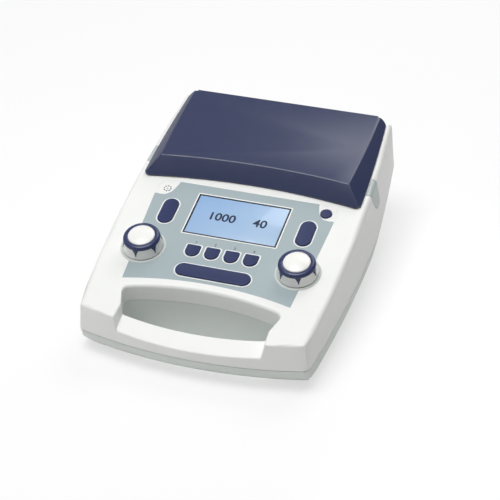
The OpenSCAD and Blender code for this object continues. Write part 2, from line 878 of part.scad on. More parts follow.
// Rubber mat with a low dome under each key
module key_mat() {
    mat_t = mat_n - board_n;
    dome = 0.5;
    color("#8d9096") on_panel() translate([0, 0, board_n]) {
        linear_extrude(height = mat_t) difference() {
            translate([-52, -34]) square([104, 58]);
            for (side = [-1, 1]) translate([side * 44, -36]) square([8, 8], center = true);
        }
        for (side = [-1, 1]) translate([side * oval_u, oval_v, 0]) cylinder(h = mat_t, r = 11);
        translate([round_u, round_v, 0]) cylinder(h = mat_t, r = 7);
        for (p = concat([for (i = row_us) [i * row_pitch, row_v]], [[0, bar_v],
            [-oval_u, oval_v], [oval_u, oval_v], [round_u, round_v]]))
            translate([p.x, p.y, mat_t - 0.1]) cylinder(h = dome + 0.1, r1 = 4.6, r2 = 3.6);
    }
}

module key_left() {
    key("oval", -oval_u, oval_v);
}

module key_right() {
    key("oval", oval_u, oval_v);
}

module key_f1() {
    key("row", row_us[0] * row_pitch, row_v);
}

module key_f2() {
    key("row", row_us[1] * row_pitch, row_v);
}

module key_f3() {
    key("row", row_us[2] * row_pitch, row_v);
}

module key_f4() {
    key("row", row_us[3] * row_pitch, row_v);
}

module tone_bar() {
    key("bar", 0, bar_v);
}

module power_key() {
    key("round", round_u, round_v);
}

module dial_collars() {
    collar_h = 1.2;
    color(white) on_panel() for (side = [-1, 1]) translate([side * dial_u, 0, 0])
        rotate_extrude() polygon([[dial_r - 2, 0], [dial_r + 3.7, 0], [dial_r + 3.4, 0.8],
            [dial_r + 2.6, collar_h], [dial_r - 2, collar_h]]);
}

// Skirt of a dial, hollow underneath, with the hub on its shaft
module dial_skirt(side) {
    foot_n = 1.7;
    hub_n = 7;
    roof_n = dial_h - 3.5;
    color(white) on_panel() translate([side * dial_u, 0, 0]) rotate_extrude() polygon([
        [0, dial_h - 1.3], [shaft_r, dial_h - 1.3], [shaft_r, hub_n], [shaft_r + 3, hub_n],
        [shaft_r + 3, roof_n], [dial_top_r - 2.6, roof_n], [dial_r - 2.2, foot_n],
        [dial_r, foot_n], [dial_r - 0.3, foot_n + 1.5], [dial_top_r, dial_h], [0, dial_h]]);
}

// Blue ring on a dial's shoulder, with pointed tabs down its skirt
module dial_ring(side) {
    ring_h = 3;
    tab_t = 0.7;
    tab_w = 5.2;
    slope = (dial_r - 0.3 - dial_top_r) / (dial_h - 3.2);
    color(navy) on_panel() translate([side * dial_u, 0, 0]) {
        rotate_extrude() polygon([[cap_r + 0.1, dial_h], [dial_top_r + 0.2, dial_h],
            [dial_top_r + 0.2, dial_h + 1.2], [dial_top_r - 0.5, dial_h + 2.5],
            [dial_top_r - 1.6, dial_h + ring_h], [cap_r + 0.1, dial_h + ring_h]]);
        intersection() {
            rotate_extrude() polygon([[dial_top_r + 0.05, dial_h + 0.4], [dial_top_r + 0.05, dial_h],
                [dial_top_r + 0.05 + slope * 11, dial_h - 11],
                [dial_top_r + tab_t + slope * 11, dial_h - 11],
                [dial_top_r + tab_t, dial_h - 0.2], [dial_top_r + 0.15, dial_h + 0.4]]);
            for (i = [0 : tab_count - 1]) rotate(i * 360 / tab_count) rotate([90, 0, 90])
                linear_extrude(height = 40) polygon([[-tab_w, dial_h + 1], [-tab_w, dial_h - 1.5],
                    [-0.5, dial_h - 10.6], [0.5, dial_h - 10.6], [tab_w, dial_h - 1.5],
                    [tab_w, dial_h + 1]]);
        }
    }
}

// Domed white cap of a dial
module dial_cap(side) {
    edge_n = dial_h + 3.1;
    dome_r = (cap_r * cap_r + cap_rise * cap_rise) / (2 * cap_rise);
    color(white) on_panel() translate([side * dial_u, 0, 0]) intersection() {
        translate([0, 0, dial_h]) cylinder(h = 12, r = cap_r);
        translate([0, 0, edge_n + cap_rise - dome_r]) sphere(r = dome_r, $fn = 180);
    }
}

// Shaft of a dial, from the encoder's bush into the hub
module dial_shaft(side) {
    color(steel) on_panel() translate([side * dial_u, 0, -3.2])
        cylinder(h = dial_h - 1.4 + 3.2, r = shaft_r);
}

module knob_left() {
    dial_skirt(-1);
}

module knob_right() {
    dial_skirt(1);
}

module knob_ring_left() {
    dial_ring(-1);
}

module knob_ring_right() {
    dial_ring(1);
}

module knob_cap_left() {
    dial_cap(-1);
}

module knob_cap_right() {
    dial_cap(1);
}

module shaft_left() {
    dial_shaft(-1);
}

module shaft_right() {
    dial_shaft(1);
}

module encoders() {
    body = 14;
    color(steel) on_panel() for (side = [-1, 1]) translate([side * dial_u, 0, 0]) difference() {
        union() {
            translate([-body / 2, -body / 2, board_n]) cube([body, body, shell_under - board_n - 0.3]);
            translate([0, 0, shell_under - 1]) cylinder(h = 4.6 - shell_under, r = shaft_r + 0.65);
        }
        translate([0, 0, -3.5]) cylinder(h = 12, r = shaft_r + running_gap);
    }
}

module encoder_nuts() {
    color(steel) on_panel() for (side = [-1, 1]) translate([side * dial_u, 0, 0.1]) difference() {
        cylinder(h = 2.2, r = 6.2, $fn = 6);
        translate([0, 0, -1]) cylinder(h = 5, r = shaft_r + 0.7);
    }
}

module microphone() {
    color(dark) on_panel() translate([-round_u, round_v, board_n])
        cylinder(h = shell_under - board_n - 0.2, r = 5.2);
}

module speaker() {
    color(dark) translate([speaker_at.x, speaker_at.y, ground_gap + wall + 0.2]) {
        cylinder(h = 4, r = 21.8);
        translate([0, 0, 4]) cylinder(h = 6, r1 = 19, r2 = 11);
        translate([0, 0, 9]) cylinder(h = 5, r = 11);
    }
}

// Tray that lines the opening at the back and carries the sockets' faces
module socket_bay() {
    skin = 1.8;
    gap = 0.2;
    color(dark) difference() {
        intersection() {
            translate([gap - bay_w / 2, bay_plate_y + gap, bay_z - bay_h / 2 + gap])
                cube([bay_w - 2 * gap, 40, bay_h - 2 * gap]);
            case_form(0.2);
        }
        translate([skin - bay_w / 2, bay_plate_y + gap + skin, bay_z - bay_h / 2 + skin])
            cube([bay_w - 2 * skin, 40, bay_h - 2 * skin]);
        for (i = socket_xs) translate([i * socket_pitch, 0, bay_z]) rotate([-90, 0, 0])
            cylinder(h = far, r = 5.6);
        translate([2 * socket_pitch - 6.3, 0, bay_z - 5.8]) cube([12.6, far, 11.6]);
        translate([3 * socket_pitch, 0, bay_z]) rotate([-90, 0, 0]) cylinder(h = far, r = 4.6);
    }
}

// Board that carries the sockets
module socket_board() {
    board_y = bay_plate_y - 8;
    color(green) difference() {
        translate([-80, board_y, bay_z - 13]) cube([160, board_t, 26]);
        for (i = socket_xs) translate([i * socket_pitch, 0, bay_z]) rotate([-90, 0, 0])
            cylinder(h = far, r = 4.7);
    }
}

module audio_sockets() {
    board_y = bay_plate_y - 8;
    face_y = bay_plate_y + 3.2;
    color(steel) for (i = socket_xs) translate([i * socket_pitch, 0, bay_z]) rotate([-90, 0, 0])
        difference() {
            union() {
                translate([0, 0, board_y + board_t]) cylinder(h = face_y - board_y - board_t, r = 5.5);
                translate([0, 0, face_y - socket_depth - 2]) cylinder(h = socket_depth, r = 4.6);
            }
            translate([0, 0, face_y - socket_depth]) cylinder(h = socket_depth + 1,
                r = socket_bore_r);
        }
}

module power_inlet() {
    board_y = bay_plate_y - 8 + board_t;
    color(dark) translate([3 * socket_pitch, board_y, bay_z]) rotate([-90, 0, 0]) difference() {
        cylinder(h = 9, r = 4.5);
        translate([0, 0, 2]) difference() {
            cylinder(h = 12, r = 3);
            cylinder(h = 6, r = 1);
        }
    }
}

module data_socket() {
    board_y = bay_plate_y - 8 + board_t;
    color(steel) translate([2 * socket_pitch, board_y, bay_z]) difference() {
        translate([-6.1, 0, -5.6]) cube([12.2, 9.2, 11.2]);
        difference() {
            translate([-4.6, 2, -4.2]) cube([9.2, 12, 8.4]);
            translate([-2.8, 0, -1.6]) cube([5.6, 7.5, 3.2]);
        }
    }
}

// Ribbon from the main board round the storage tray to the sockets
module socket_cable() {
    low = -tray_depth - 3;
    back_v = tray_v1 + 3;
    route = [[100, board_n - board_t - 0.5], [tray_v0 - 6, board_n - board_t - 8],
        [tray_v0 - 6, low], [back_v, low], [back_v, -44]];
    color("#8e9aa3") on_panel() rotate([90, 0, 90]) linear_extrude(height = 24, center = true)
        for (i = [0 : len(route) - 2]) hull() {
            translate(route[i]) circle(r = 0.4, $fn = 12);
            translate(route[i + 1]) circle(r = 0.4, $fn = 12);
        }
}

module feet() {
    color(dark) for (p = foot_at) translate([p.x, p.y, 0])
        cylinder(h = ground_gap + foot_sink, r = foot_r);
}

module shell_screws() {
    color(steel) for (p = shell_screw_at) translate([p.x, p.y, ground_gap + wall - 2.4]) {
        cylinder(h = 2.4, r = 3.2);
        cylinder(h = seam_z(p.y) + 10 - ground_gap - wall + 2.4, r = screw_r);
    }
}

module board_screws() {
    color(steel) on_panel() for (p = board_screw_at)
        translate([p.x, p.y, board_n - board_t - 1.4]) {
            cylinder(h = 1.4, r = 2.2);
            cylinder(h = 7, r = 1, $fn = 32);
        }
}

lower_shell();
upper_shell();
storage_tray();
lid();
lid_bumpers();
hinge_pins();
latch_left();
latch_right();
latch_pins();
panel_overlay();
display_window();
display_gasket();
display_module();
display_cable();
main_board();
key_mat();
key_left();
key_right();
key_f1();
key_f2();
key_f3();
key_f4();
tone_bar();
power_key();
dial_collars();
knob_left();
knob_right();
knob_ring_left();
knob_ring_right();
knob_cap_left();
knob_cap_right();
shaft_left();
shaft_right();
encoders();
encoder_nuts();
microphone();
speaker();
socket_bay();
socket_board();
audio_sockets();
power_inlet();
data_socket();
socket_cable();
feet();
shell_screws();
board_screws();
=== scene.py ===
"""Looks of a portable audiometer: a case with a carrying handle, a face with keys and two dials,
and a lidded storage well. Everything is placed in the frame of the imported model, in metres."""

import logging
import math
from abc import ABC, abstractmethod
from collections.abc import Callable, Iterator, Sequence
from contextlib import contextmanager
from dataclasses import dataclass, field
from enum import Enum

import bmesh
import bpy
from mathutils import Matrix, Vector
from mathutils.bvhtree import BVHTree


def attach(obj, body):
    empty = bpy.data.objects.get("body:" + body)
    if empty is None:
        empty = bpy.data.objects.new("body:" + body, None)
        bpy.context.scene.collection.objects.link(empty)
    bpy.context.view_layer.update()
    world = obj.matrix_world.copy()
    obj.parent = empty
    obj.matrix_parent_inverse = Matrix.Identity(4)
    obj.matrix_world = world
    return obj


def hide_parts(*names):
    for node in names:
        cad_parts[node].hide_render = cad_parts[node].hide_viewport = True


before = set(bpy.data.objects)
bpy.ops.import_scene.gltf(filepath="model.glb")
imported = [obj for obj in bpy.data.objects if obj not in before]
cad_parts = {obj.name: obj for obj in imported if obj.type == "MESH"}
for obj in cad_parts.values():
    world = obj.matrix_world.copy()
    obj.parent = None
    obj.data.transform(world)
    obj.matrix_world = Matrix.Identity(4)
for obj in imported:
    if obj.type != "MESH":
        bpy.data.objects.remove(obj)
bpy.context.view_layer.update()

LOG = logging.getLogger("audiometer")
MM = 0.001
PANEL = Matrix.Translation((0.0, -0.087, 0.0842)) @ Matrix.Rotation(math.radians(12.0), 4, "X")
TO_PANEL = PANEL.inverted()
FRONT_Y = -0.206
SEAM_Z = 0.0285
SEAM_SLOPE = math.tan(math.radians(3.15))
SEAM_GAP = 0.0004
SEAM_REACH = 2e-4
BAND = math.pi / 10  # distance between the bands of a wave texture whose scale is 1

Colour = tuple[float, float, float, float]
Profile = Sequence[tuple[float, float]]
Piece = bpy.types.Object
Tree = bpy.types.NodeTree
Node = bpy.types.Node
Socket = bpy.types.NodeSocket
Share = Callable[[Vector, Vector, float, bool], float]


class Side(Enum):
    """The two sides of the object, as the user sees them."""

    LEFT = -1
    RIGHT = 1

    @property
    def word(self) -> str:
        """Lower-case name, as the bodies use it."""
        return self.name.lower()


class KeyKind(Enum):
    """The outlines that a key can have."""

    OVAL = "oval"
    ROW = "row"
    BAR = "bar"
    ROUND = "round"


# ---------------------------------------------------------------- small tools of the bench


def seam_height(y: float) -> float:
    """Height of the parting line at a place along the case."""
    return SEAM_Z + (y - FRONT_Y) * SEAM_SLOPE


def linear(code: str) -> Colour:
    """Turns a written colour into the renderer's linear one.

    Args:
        code: The colour as #rrggbb.

    Returns:
        Red, green, blue and alpha from 0 to 1.
    """
    parts = [int(code[i:i + 2], 16) / 255 for i in (1, 3, 5)]
    red, green, blue = (p / 12.92 if p <= 0.04045 else ((p + 0.055) / 1.055) ** 2.4 for p in parts)
    return red, green, blue, 1.0


def feed(node: Node, inputs: dict) -> None:
    """Feeds some inputs of a node.

    Args:
        node: The node.
        inputs: Sockets by name or number, each with a value or with a socket to link from.
    """
    for key, value in inputs.items():
        if isinstance(value, Socket):
            node.id_data.links.new(value, node.inputs[key])
        else:
            node.inputs[key].default_value = value


def add_node(tree: Tree, kind: str, inputs: dict | None = None, **settings: object) -> Node:
    """Adds one shader node.

    Args:
        tree: The node tree that gets it.
        kind: The node's type without its ShaderNode prefix.
        inputs: Sockets by name or number, each with a value or with a socket to link from.
        settings: The node's own properties.

    Returns:
        The new node.
    """
    node = tree.nodes.new("ShaderNode" + kind)
    for key, value in settings.items():
        setattr(node, key, value)
    feed(node, inputs or {})
    return node


def select_only(pieces: Sequence[Piece]) -> None:
    """Selects some pieces and no others.

    Args:
        pieces: The pieces. The first one becomes the active one.
    """
    bpy.ops.object.select_all(action="DESELECT")
    for piece in pieces:
        piece.select_set(True)
    bpy.context.view_layer.objects.active = pieces[0]


@contextmanager
def editing(piece: Piece, mode: str = "FACE", everything: bool = False) -> Iterator[None]:
    """Opens a piece in edit mode, and closes it again.

    Args:
        piece: The piece to edit.
        mode: What is selected: VERT, EDGE or FACE.
        everything: Whether it opens with everything selected, and not with nothing.
    """
    select_only([piece])
    bpy.ops.object.mode_set(mode="EDIT")
    bpy.ops.mesh.select_mode(type=mode)
    bpy.ops.mesh.select_all(action="SELECT" if everything else "DESELECT")
    try:
        yield
    finally:
        bpy.ops.object.mode_set(mode="OBJECT")


def pick(piece: Piece, kind: str, test: Callable[..., bool]) -> None:
    """Selects the parts of an opened piece that pass a test, and no others.

    Args:
        piece: The piece that is open in edit mode.
        kind: verts, edges or faces.
        test: Takes one such part.
    """
    bpy.ops.mesh.select_all(action="DESELECT")
    mesh = bmesh.from_edit_mesh(piece.data)
    for part in getattr(mesh, kind):
        if test(part):
            part.select_set(True)
    bmesh.update_edit_mesh(piece.data)


def pick_faces(piece: Piece, test: Callable[[Vector, Vector], bool]) -> None:
    """Selects the faces whose centre and normal pass a test, and no others."""
    pick(piece, "faces", lambda face: test(face.calc_center_median(), face.normal))


def pick_edges(piece: Piece, test: Callable[[Vector, Vector], bool]) -> None:
    """Selects the edges whose two ends pass a test, and no others."""
    pick(piece, "edges", lambda edge: test(edge.verts[0].co, edge.verts[1].co))


def upright(a: Vector, b: Vector) -> bool:
    """True for an edge that runs along z."""
    return abs(a.x - b.x) < 1e-4 and abs(a.y - b.y) < 1e-4


def moved_by(operator: Callable[..., object], rise: float) -> None:
    """Runs an extrude operator and moves what is new along z."""
    operator(TRANSFORM_OT_translate={"value": (0.0, 0.0, rise)})


def modified(piece: Piece, kind: str, **settings: object) -> None:
    """Adds a modifier to a piece and applies it.

    Args:
        piece: The piece.
        kind: The modifier's type.
        settings: The modifier's properties.
    """
    select_only([piece])
    modifier = piece.modifiers.new(kind.lower(), kind)
    for key, value in settings.items():
        setattr(modifier, key, value)
    bpy.ops.object.modifier_apply(modifier=modifier.name)


def rounded(piece: Piece, width: float, segments: int, share: Share) -> None:
    """Rounds edges on the outside of a hollow piece, each by a share of the whole width.

    Args:
        piece: The piece.
        width: The whole width of the rounding.
        segments: How many strips it has.
        share: Takes an edge's ends, the angle between its faces in degrees and whether it is
            convex, and gives its share of the rounding, from 0 to 1.
    """
    least_angle, lift = 12.0, 2e-4
    mesh = bmesh.new()
    mesh.from_mesh(piece.data)
    mesh.normal_update()
    tree = BVHTree.FromBMesh(mesh)
    layer = mesh.edges.layers.float.new("bevel_weight_edge")
    count = 0
    for edge in mesh.edges:
        if len(edge.link_faces) != 2:
            continue
        angle = math.degrees(edge.calc_face_angle(0.0))
        a, b = (vertex.co for vertex in edge.verts)
        weight = share(a, b, angle, edge.is_convex) if angle > least_angle else 0.0
        if weight > 0.0:
            outward = (edge.link_faces[0].normal + edge.link_faces[1].normal).normalized()
            if tree.ray_cast((a + b) / 2 + outward * lift, outward)[0] is None:
                edge[layer] = weight
                count += 1
    mesh.to_mesh(piece.data)
    mesh.free()
    LOG.info("%s: %d edges rounded", piece.name, count)
    modified(piece, "BEVEL", width=width, segments=segments, limit_method="WEIGHT",
             use_clamp_overlap=False, miter_outer="MITER_ARC")


def named(name: str) -> Piece:
    """Names the new active piece and applies its transforms.

    Args:
        name: The name.

    Returns:
        The piece.
    """
    piece = bpy.context.active_object
    piece.name = piece.data.name = name
    bpy.ops.object.transform_apply(location=True, rotation=True, scale=True)
    return piece


def joined(parts: Sequence[Piece], name: str) -> Piece:
    """Joins pieces into the first of them.

    Args:
        parts: The pieces.
        name: The name that the result gets.

    Returns:
        The joined piece.
    """
    select_only(parts)
    bpy.ops.object.join()
    parts[0].name = name
    return parts[0]


def block(name: str, low: Sequence[float], high: Sequence[float]) -> Piece:
    """Starts a piece as a box.

    Args:
        name: The piece's name.
        low: Its lowest corner.
        high: Its highest corner.

    Returns:
        The piece.
    """
    low, high = Vector(low), Vector(high)
    bpy.ops.object.select_all(action="DESELECT")
    bpy.ops.mesh.primitive_cube_add(size=1.0, location=(low + high) / 2, scale=high - low)
    return named(name)


def turned(name: str, profile: Profile, sides: int = 128, cap_start: bool = False,
           cap_end: bool = False) -> Piece:
    """Turns a piece about z: a ring of edges is extruded and scaled from step to step.

    Args:
        name: The piece's name.
        profile: Steps of (radius, height). A radius of 0 closes to the axis.
        sides: Points round the ring.
        cap_start: Closes the first ring with a face.
        cap_end: Closes the last ring with a face.

    Returns:
        The piece.
    """
    radius, height = profile[0]
    bpy.ops.object.select_all(action="DESELECT")
    bpy.ops.mesh.primitive_circle_add(vertices=sides, radius=radius, location=(0, 0, height),
                                      fill_type="NGON" if cap_start else "NOTHING")
    piece = named(name)
    with editing(piece, "EDGE"):
        pick_edges(piece, lambda a, b: True)
        for new_radius, new_height in profile[1:]:
            moved_by(bpy.ops.mesh.extrude_edges_move, new_height - height)
            ratio = new_radius / radius
            bpy.ops.transform.resize(value=(ratio, ratio, 1.0),
                                     center_override=(0.0, 0.0, new_height))
            radius, height = max(new_radius, 1e-6), new_height
        if cap_end:
            bpy.ops.mesh.edge_face_add()
    tidy(piece)
    return piece


def tidy(piece: Piece, reach: float = 1e-4) -> None:
    """Merges doubled points and turns all faces outward.

    Args:
        piece: The piece.
        reach: Points that are nearer than this become one.
    """
    with editing(piece, everything=True):
        bpy.ops.mesh.remove_doubles(threshold=reach)
        bpy.ops.mesh.normals_make_consistent(inside=False)


def soften(piece: Piece, angle: float = 32.0) -> None:
    """Shades a piece smooth, up to an angle between faces in degrees."""
    select_only([piece])
    bpy.ops.object.shade_smooth_by_angle(angle=math.radians(angle))


def placed(piece: Piece, at: Sequence[float], base: Matrix = PANEL) -> Piece:
    """Moves a piece modelled in millimetres to its place, and bakes the place into its mesh.

    Args:
        piece: The piece.
        at: Its place in millimetres.
        base: The frame of that place.

    Returns:
        The same piece.
    """
    select_only([piece])
    piece.matrix_world = base @ Matrix.Translation(Vector(at) * MM) @ Matrix.Scale(MM, 4)
    bpy.ops.object.transform_apply(location=True, rotation=True, scale=True)
    return piece


def cad_copy(node: str, reach: float = 2e-6) -> Piece:
    """Copies a node's mesh into a new piece, with its points merged and its flats made whole.

    Args:
        node: The CAD node.
        reach: Points that are nearer than this become one, in metres.

    Returns:
        The new piece.
    """
    flat_angle = 0.6
    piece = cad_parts[node].copy()
    piece.data = piece.data.copy()
    piece.name = piece.data.name = f"{node}_moulding"
    bpy.context.scene.collection.objects.link(piece)
    piece.parent = None
    for key in list(piece.keys()):
        del piece[key]
    select_only([piece])
    bpy.ops.mesh.customdata_custom_splitnormals_clear()
    with editing(piece, everything=True):
        bpy.ops.mesh.remove_doubles(threshold=reach)
        bpy.ops.mesh.dissolve_limited(angle_limit=math.radians(flat_angle))
        bpy.ops.mesh.normals_make_consistent(inside=False)
    return piece


# ---------------------------------------------------------------- finishes


@dataclass(frozen=True)
class Finish(ABC):
    """One real finish, made once as a material and then shared.

    Args:
        name: What the material is.
        colour: Its colour as #rrggbb.
        roughness: How dull it is.
        shade: The second colour that its pattern brings in.
    """

    name: str
    colour: str
    roughness: float
    shade: str

    def material(self) -> bpy.types.Material:
        """Gives the material, and makes it the first time.

        Returns:
            The material.
        """
        found = bpy.data.materials.get(self.name)
        if found:
            return found
        made = bpy.data.materials.new(self.name)
        made.use_nodes = True
        made.diffuse_color = linear(self.colour)
        tree = made.node_tree
        shader = tree.nodes["Principled BSDF"]
        feed(shader, {"Base Color": linear(self.colour), "Roughness": self.roughness})
        self.detail(tree, shader, add_node(tree, "TexCoord").outputs["Object"])
        return made

    @abstractmethod
    def detail(self, tree: Tree, shader: Node, where: Socket) -> None:
        """Adds what the finish shows close up.

        Args:
            tree: The material's nodes.
            shader: Its shader.
            where: The coordinates of the piece itself.
        """

    def drift(self, tree: Tree, where: Socket, size_mm: float, low: float, high: float,
              detail: float = 2.0) -> Socket:
        """Makes a value that wanders from place to place.

        Args:
            tree: The material's nodes.
            where: The coordinates of the piece itself.
            size_mm: Size of a patch.
            low: Its value on the lowest patches.
            high: Its value on the highest patches.
            detail: How many finer layers lie over the patches.

        Returns:
            The value.
        """
        noise = add_node(tree, "TexNoise", {"Vector": where, "Scale": 1 / (size_mm * MM),
                                            "Detail": detail})
        ranged = add_node(tree, "MapRange", {"Value": noise.outputs["Fac"], "From Min": 0.3,
                                             "From Max": 0.7, "To Min": low, "To Max": high})
        return ranged.outputs["Result"]

    def show(self, tree: Tree, shader: Node, amount: Socket, height: Socket | None = None,
             depth_mm: float = 0.0) -> None:
        """Brings in the second colour, and the relief where there is one.

        Args:
            tree: The material's nodes.
            shader: Its shader.
            amount: How much of the second colour there is.
            height: The relief, from 0 to 1.
            depth_mm: The depth of that relief.
        """
        mix = add_node(tree, "Mix", {0: amount, 6: linear(self.colour), 7: linear(self.shade)},
                       data_type="RGBA")
        feed(shader, {"Base Color": mix.outputs[2]})
        if height is not None:
            relief = add_node(tree, "Bump", {"Height": height, "Distance": depth_mm * MM,
                                             "Strength": 1.0})
            feed(shader, {"Normal": relief.outputs["Normal"]})


@dataclass(frozen=True)
class MouldedPlastic(Finish):
    """Injection-moulded ABS from a spark-eroded tool: an even sheen without a clear reflection.

    The real grain is finer, and is drawn as coarse as it needs to show.

    Args:
        grain_mm: Size of the grain.
        grain_depth_mm: Depth of the grain.
        coat: Weight of a clear lacquer.
        tone_mm: Size of a patch of even tone.
        rub_mm: Size of a patch of even shine.
        rub: How far the roughness drifts.
    """

    grain_mm: float = 0.5
    grain_depth_mm: float = 0.008
    coat: float = 0.0
    tone_mm: float = 34.0
    rub_mm: float = 9.0
    rub: float = 0.035

    def detail(self, tree: Tree, shader: Node, where: Socket) -> None:
        """Adds the grain, the drift in tone and the drift in shine.

        Args:
            tree: The material's nodes.
            shader: Its shader.
            where: The coordinates of the piece itself.
        """
        grain = add_node(tree, "TexNoise", {"Vector": where, "Scale": 1 / (self.grain_mm * MM),
                                            "Detail": 1.0})
        tone = self.drift(tree, where, self.tone_mm, 0.0, 0.35, 3.0)
        self.show(tree, shader, tone, grain.outputs["Fac"], self.grain_depth_mm)
        dulled = self.drift(tree, where, self.rub_mm, self.roughness - self.rub,
                            self.roughness + self.rub, 4.0)
        feed(shader, {"Roughness": dulled, "Coat Weight": self.coat, "Coat Roughness": 0.16})


@dataclass(frozen=True)
class PearlPlastic(Finish):
    """Pearl-filled plastic, moulded and polished: fine mica flakes under a soft gloss.

    Args:
        flake_mm: Size of a flake.
        rub: How far the roughness drifts.
    """

    flake_mm: float = 0.35
    rub: float = 0.06

    def detail(self, tree: Tree, shader: Node, where: Socket) -> None:
        """Adds the flakes and the soft gloss.

        Args:
            tree: The material's nodes.
            shader: Its shader.
            where: The coordinates of the piece itself.
        """
        cells = add_node(tree, "TexVoronoi", {"Vector": where, "Scale": 1 / (self.flake_mm * MM)})
        flakes = add_node(tree, "MapRange", {"Value": cells.outputs["Distance"], "From Min": 0.3,
                                             "From Max": 0.7, "To Min": 0.0, "To Max": 0.5})
        self.show(tree, shader, flakes.outputs["Result"])
        dulled = self.drift(tree, where, 0.8, self.roughness - self.rub,
                            self.roughness + self.rub)
        feed(shader, {"Roughness": dulled, "Metallic": 0.12, "Coat Weight": 0.4,
                      "Coat Roughness": 0.12})


@dataclass(frozen=True)
class PrintedFilm(Finish):
    """Screen-printed polyester sheet with a fine emboss: flat ink under a velvety film.

    Args:
        emboss_mm: Size of the emboss.
        emboss_depth_mm: Depth of the emboss.
        rub: How far the roughness drifts.
    """

    emboss_mm: float = 0.22
    emboss_depth_mm: float = 0.006
    rub: float = 0.03

    def detail(self, tree: Tree, shader: Node, where: Socket) -> None:
        """Adds the deeper tone where the ink lies thick, and the film's emboss.

        Args:
            tree: The material's nodes.
            shader: Its shader.
            where: The coordinates of the piece itself.
        """
        cells = add_node(tree, "TexVoronoi", {"Vector": where, "Scale": 1 / (self.emboss_mm * MM)})
        self.show(tree, shader, self.drift(tree, where, 60.0, 0.0, 0.5), cells.outputs["Distance"],
                  self.emboss_depth_mm)
        dulled = self.drift(tree, where, 12.0, self.roughness - self.rub,
                            self.roughness + self.rub)
        feed(shader, {"Roughness": dulled})


@dataclass(frozen=True)
class CornerFilm(PrintedFilm):
    """Printed face sheet whose two upper corners are white, like the shell behind them.

    Args:
        corner: The corners' colour.
        u: Distance of the middle of a corner's arc from the middle plane, in millimetres.
        v: Its height up the panel.
        radius: Radius of that arc.
    """

    corner: str = "#f1f2f0"
    u: float = 112.0
    v: float = 112.0
    radius: float = 25.0

    def detail(self, tree: Tree, shader: Node, where: Socket) -> None:
        """Adds the film's look, then the white inside an arc round each corner.

        Args:
            tree: The material's nodes.
            shader: Its shader.
            where: The coordinates of the piece itself.
        """
        super().detail(tree, shader, where)
        base = shader.inputs["Base Color"].links[0].from_socket
        parts = add_node(tree, "SeparateXYZ", {"Vector": where})
        side = add_node(tree, "Math", {0: parts.outputs["X"]}, operation="ABSOLUTE")
        across = add_node(tree, "Math", {0: side.outputs[0], 1: self.u * MM},
                          operation="SUBTRACT")
        slope, foot = PANEL[1][1], PANEL.translation.y
        up = add_node(tree, "Math", {0: parts.outputs["Y"], 1: 1 / slope,
                                     2: -foot / slope - self.v * MM}, operation="MULTIPLY_ADD")
        arm = add_node(tree, "CombineXYZ", {"X": across.outputs[0], "Y": up.outputs[0]})
        length = add_node(tree, "VectorMath", {0: arm.outputs["Vector"]}, operation="LENGTH")
        near = add_node(tree, "Math", {0: length.outputs["Value"], 1: self.radius * MM},
                        operation="LESS_THAN")
        mix = add_node(tree, "Mix", {0: near.outputs[0], 6: base, 7: linear(self.corner)},
                       data_type="RGBA")
        feed(shader, {"Base Color": mix.outputs[2]})


@dataclass(frozen=True)
class ScreenPane(Finish):
    """Blue-lit screen behind a glossy pane: light that falls to one corner, and fine rows.

    Args:
        row_mm: Distance between the screen's rows.
        right: Distance from the middle plane over which the light falls, in metres.
        top: Place along the case where the fall starts, in metres.
        bottom: Place along the case where the fall ends, in metres.
    """

    row_mm: float = 1.7765
    right: float = 0.057
    top: float = 0.008
    bottom: float = -0.056

    def detail(self, tree: Tree, shader: Node, where: Socket) -> None:
        """Adds the fall of light, the screen's rows and the pane's gloss.

        Args:
            tree: The material's nodes.
            shader: Its shader.
            where: The coordinates of the piece itself.
        """
        axes = add_node(tree, "SeparateXYZ", {"Vector": where})
        across = add_node(tree, "MapRange", {"Value": axes.outputs["X"], "From Min": -self.right,
                                             "From Max": self.right, "To Min": 0.0, "To Max": 0.6})
        down = add_node(tree, "MapRange", {"Value": axes.outputs["Y"], "From Min": self.top,
                                           "From Max": self.bottom, "To Min": 0.0, "To Max": 0.4})
        both = add_node(tree, "Math", {0: across.outputs["Result"], 1: down.outputs["Result"]},
                        operation="ADD")
        soft = add_node(tree, "Math", {0: both.outputs["Value"],
                                       1: self.drift(tree, where, 40.0, -0.1, 0.1)},
                        operation="ADD")
        rows = add_node(tree, "TexWave", {"Vector": where, "Distortion": 0.0,
                                          "Scale": BAND / (self.row_mm * MM)},
                        bands_direction="Y")
        self.show(tree, shader, soft.outputs["Value"], rows.outputs["Fac"], 0.001)
        feed(shader, {"Coat Weight": 0.5, "Coat Roughness": 0.06})


@dataclass(frozen=True)
class Rubber(Finish):
    """Moulded elastomer: matt, with pale talc in its pores."""

    def detail(self, tree: Tree, shader: Node, where: Socket) -> None:
        """Adds the talc and the pores.

        Args:
            tree: The material's nodes.
            shader: Its shader.
            where: The coordinates of the piece itself.
        """
        pores = add_node(tree, "TexNoise", {"Vector": where, "Scale": 1 / (0.4 * MM),
                                            "Detail": 3.0})
        self.show(tree, shader, self.drift(tree, where, 6.0, 0.0, 0.4, 5.0), pores.outputs["Fac"],
                  0.03)
        feed(shader, {"Specular IOR Level": 0.3})


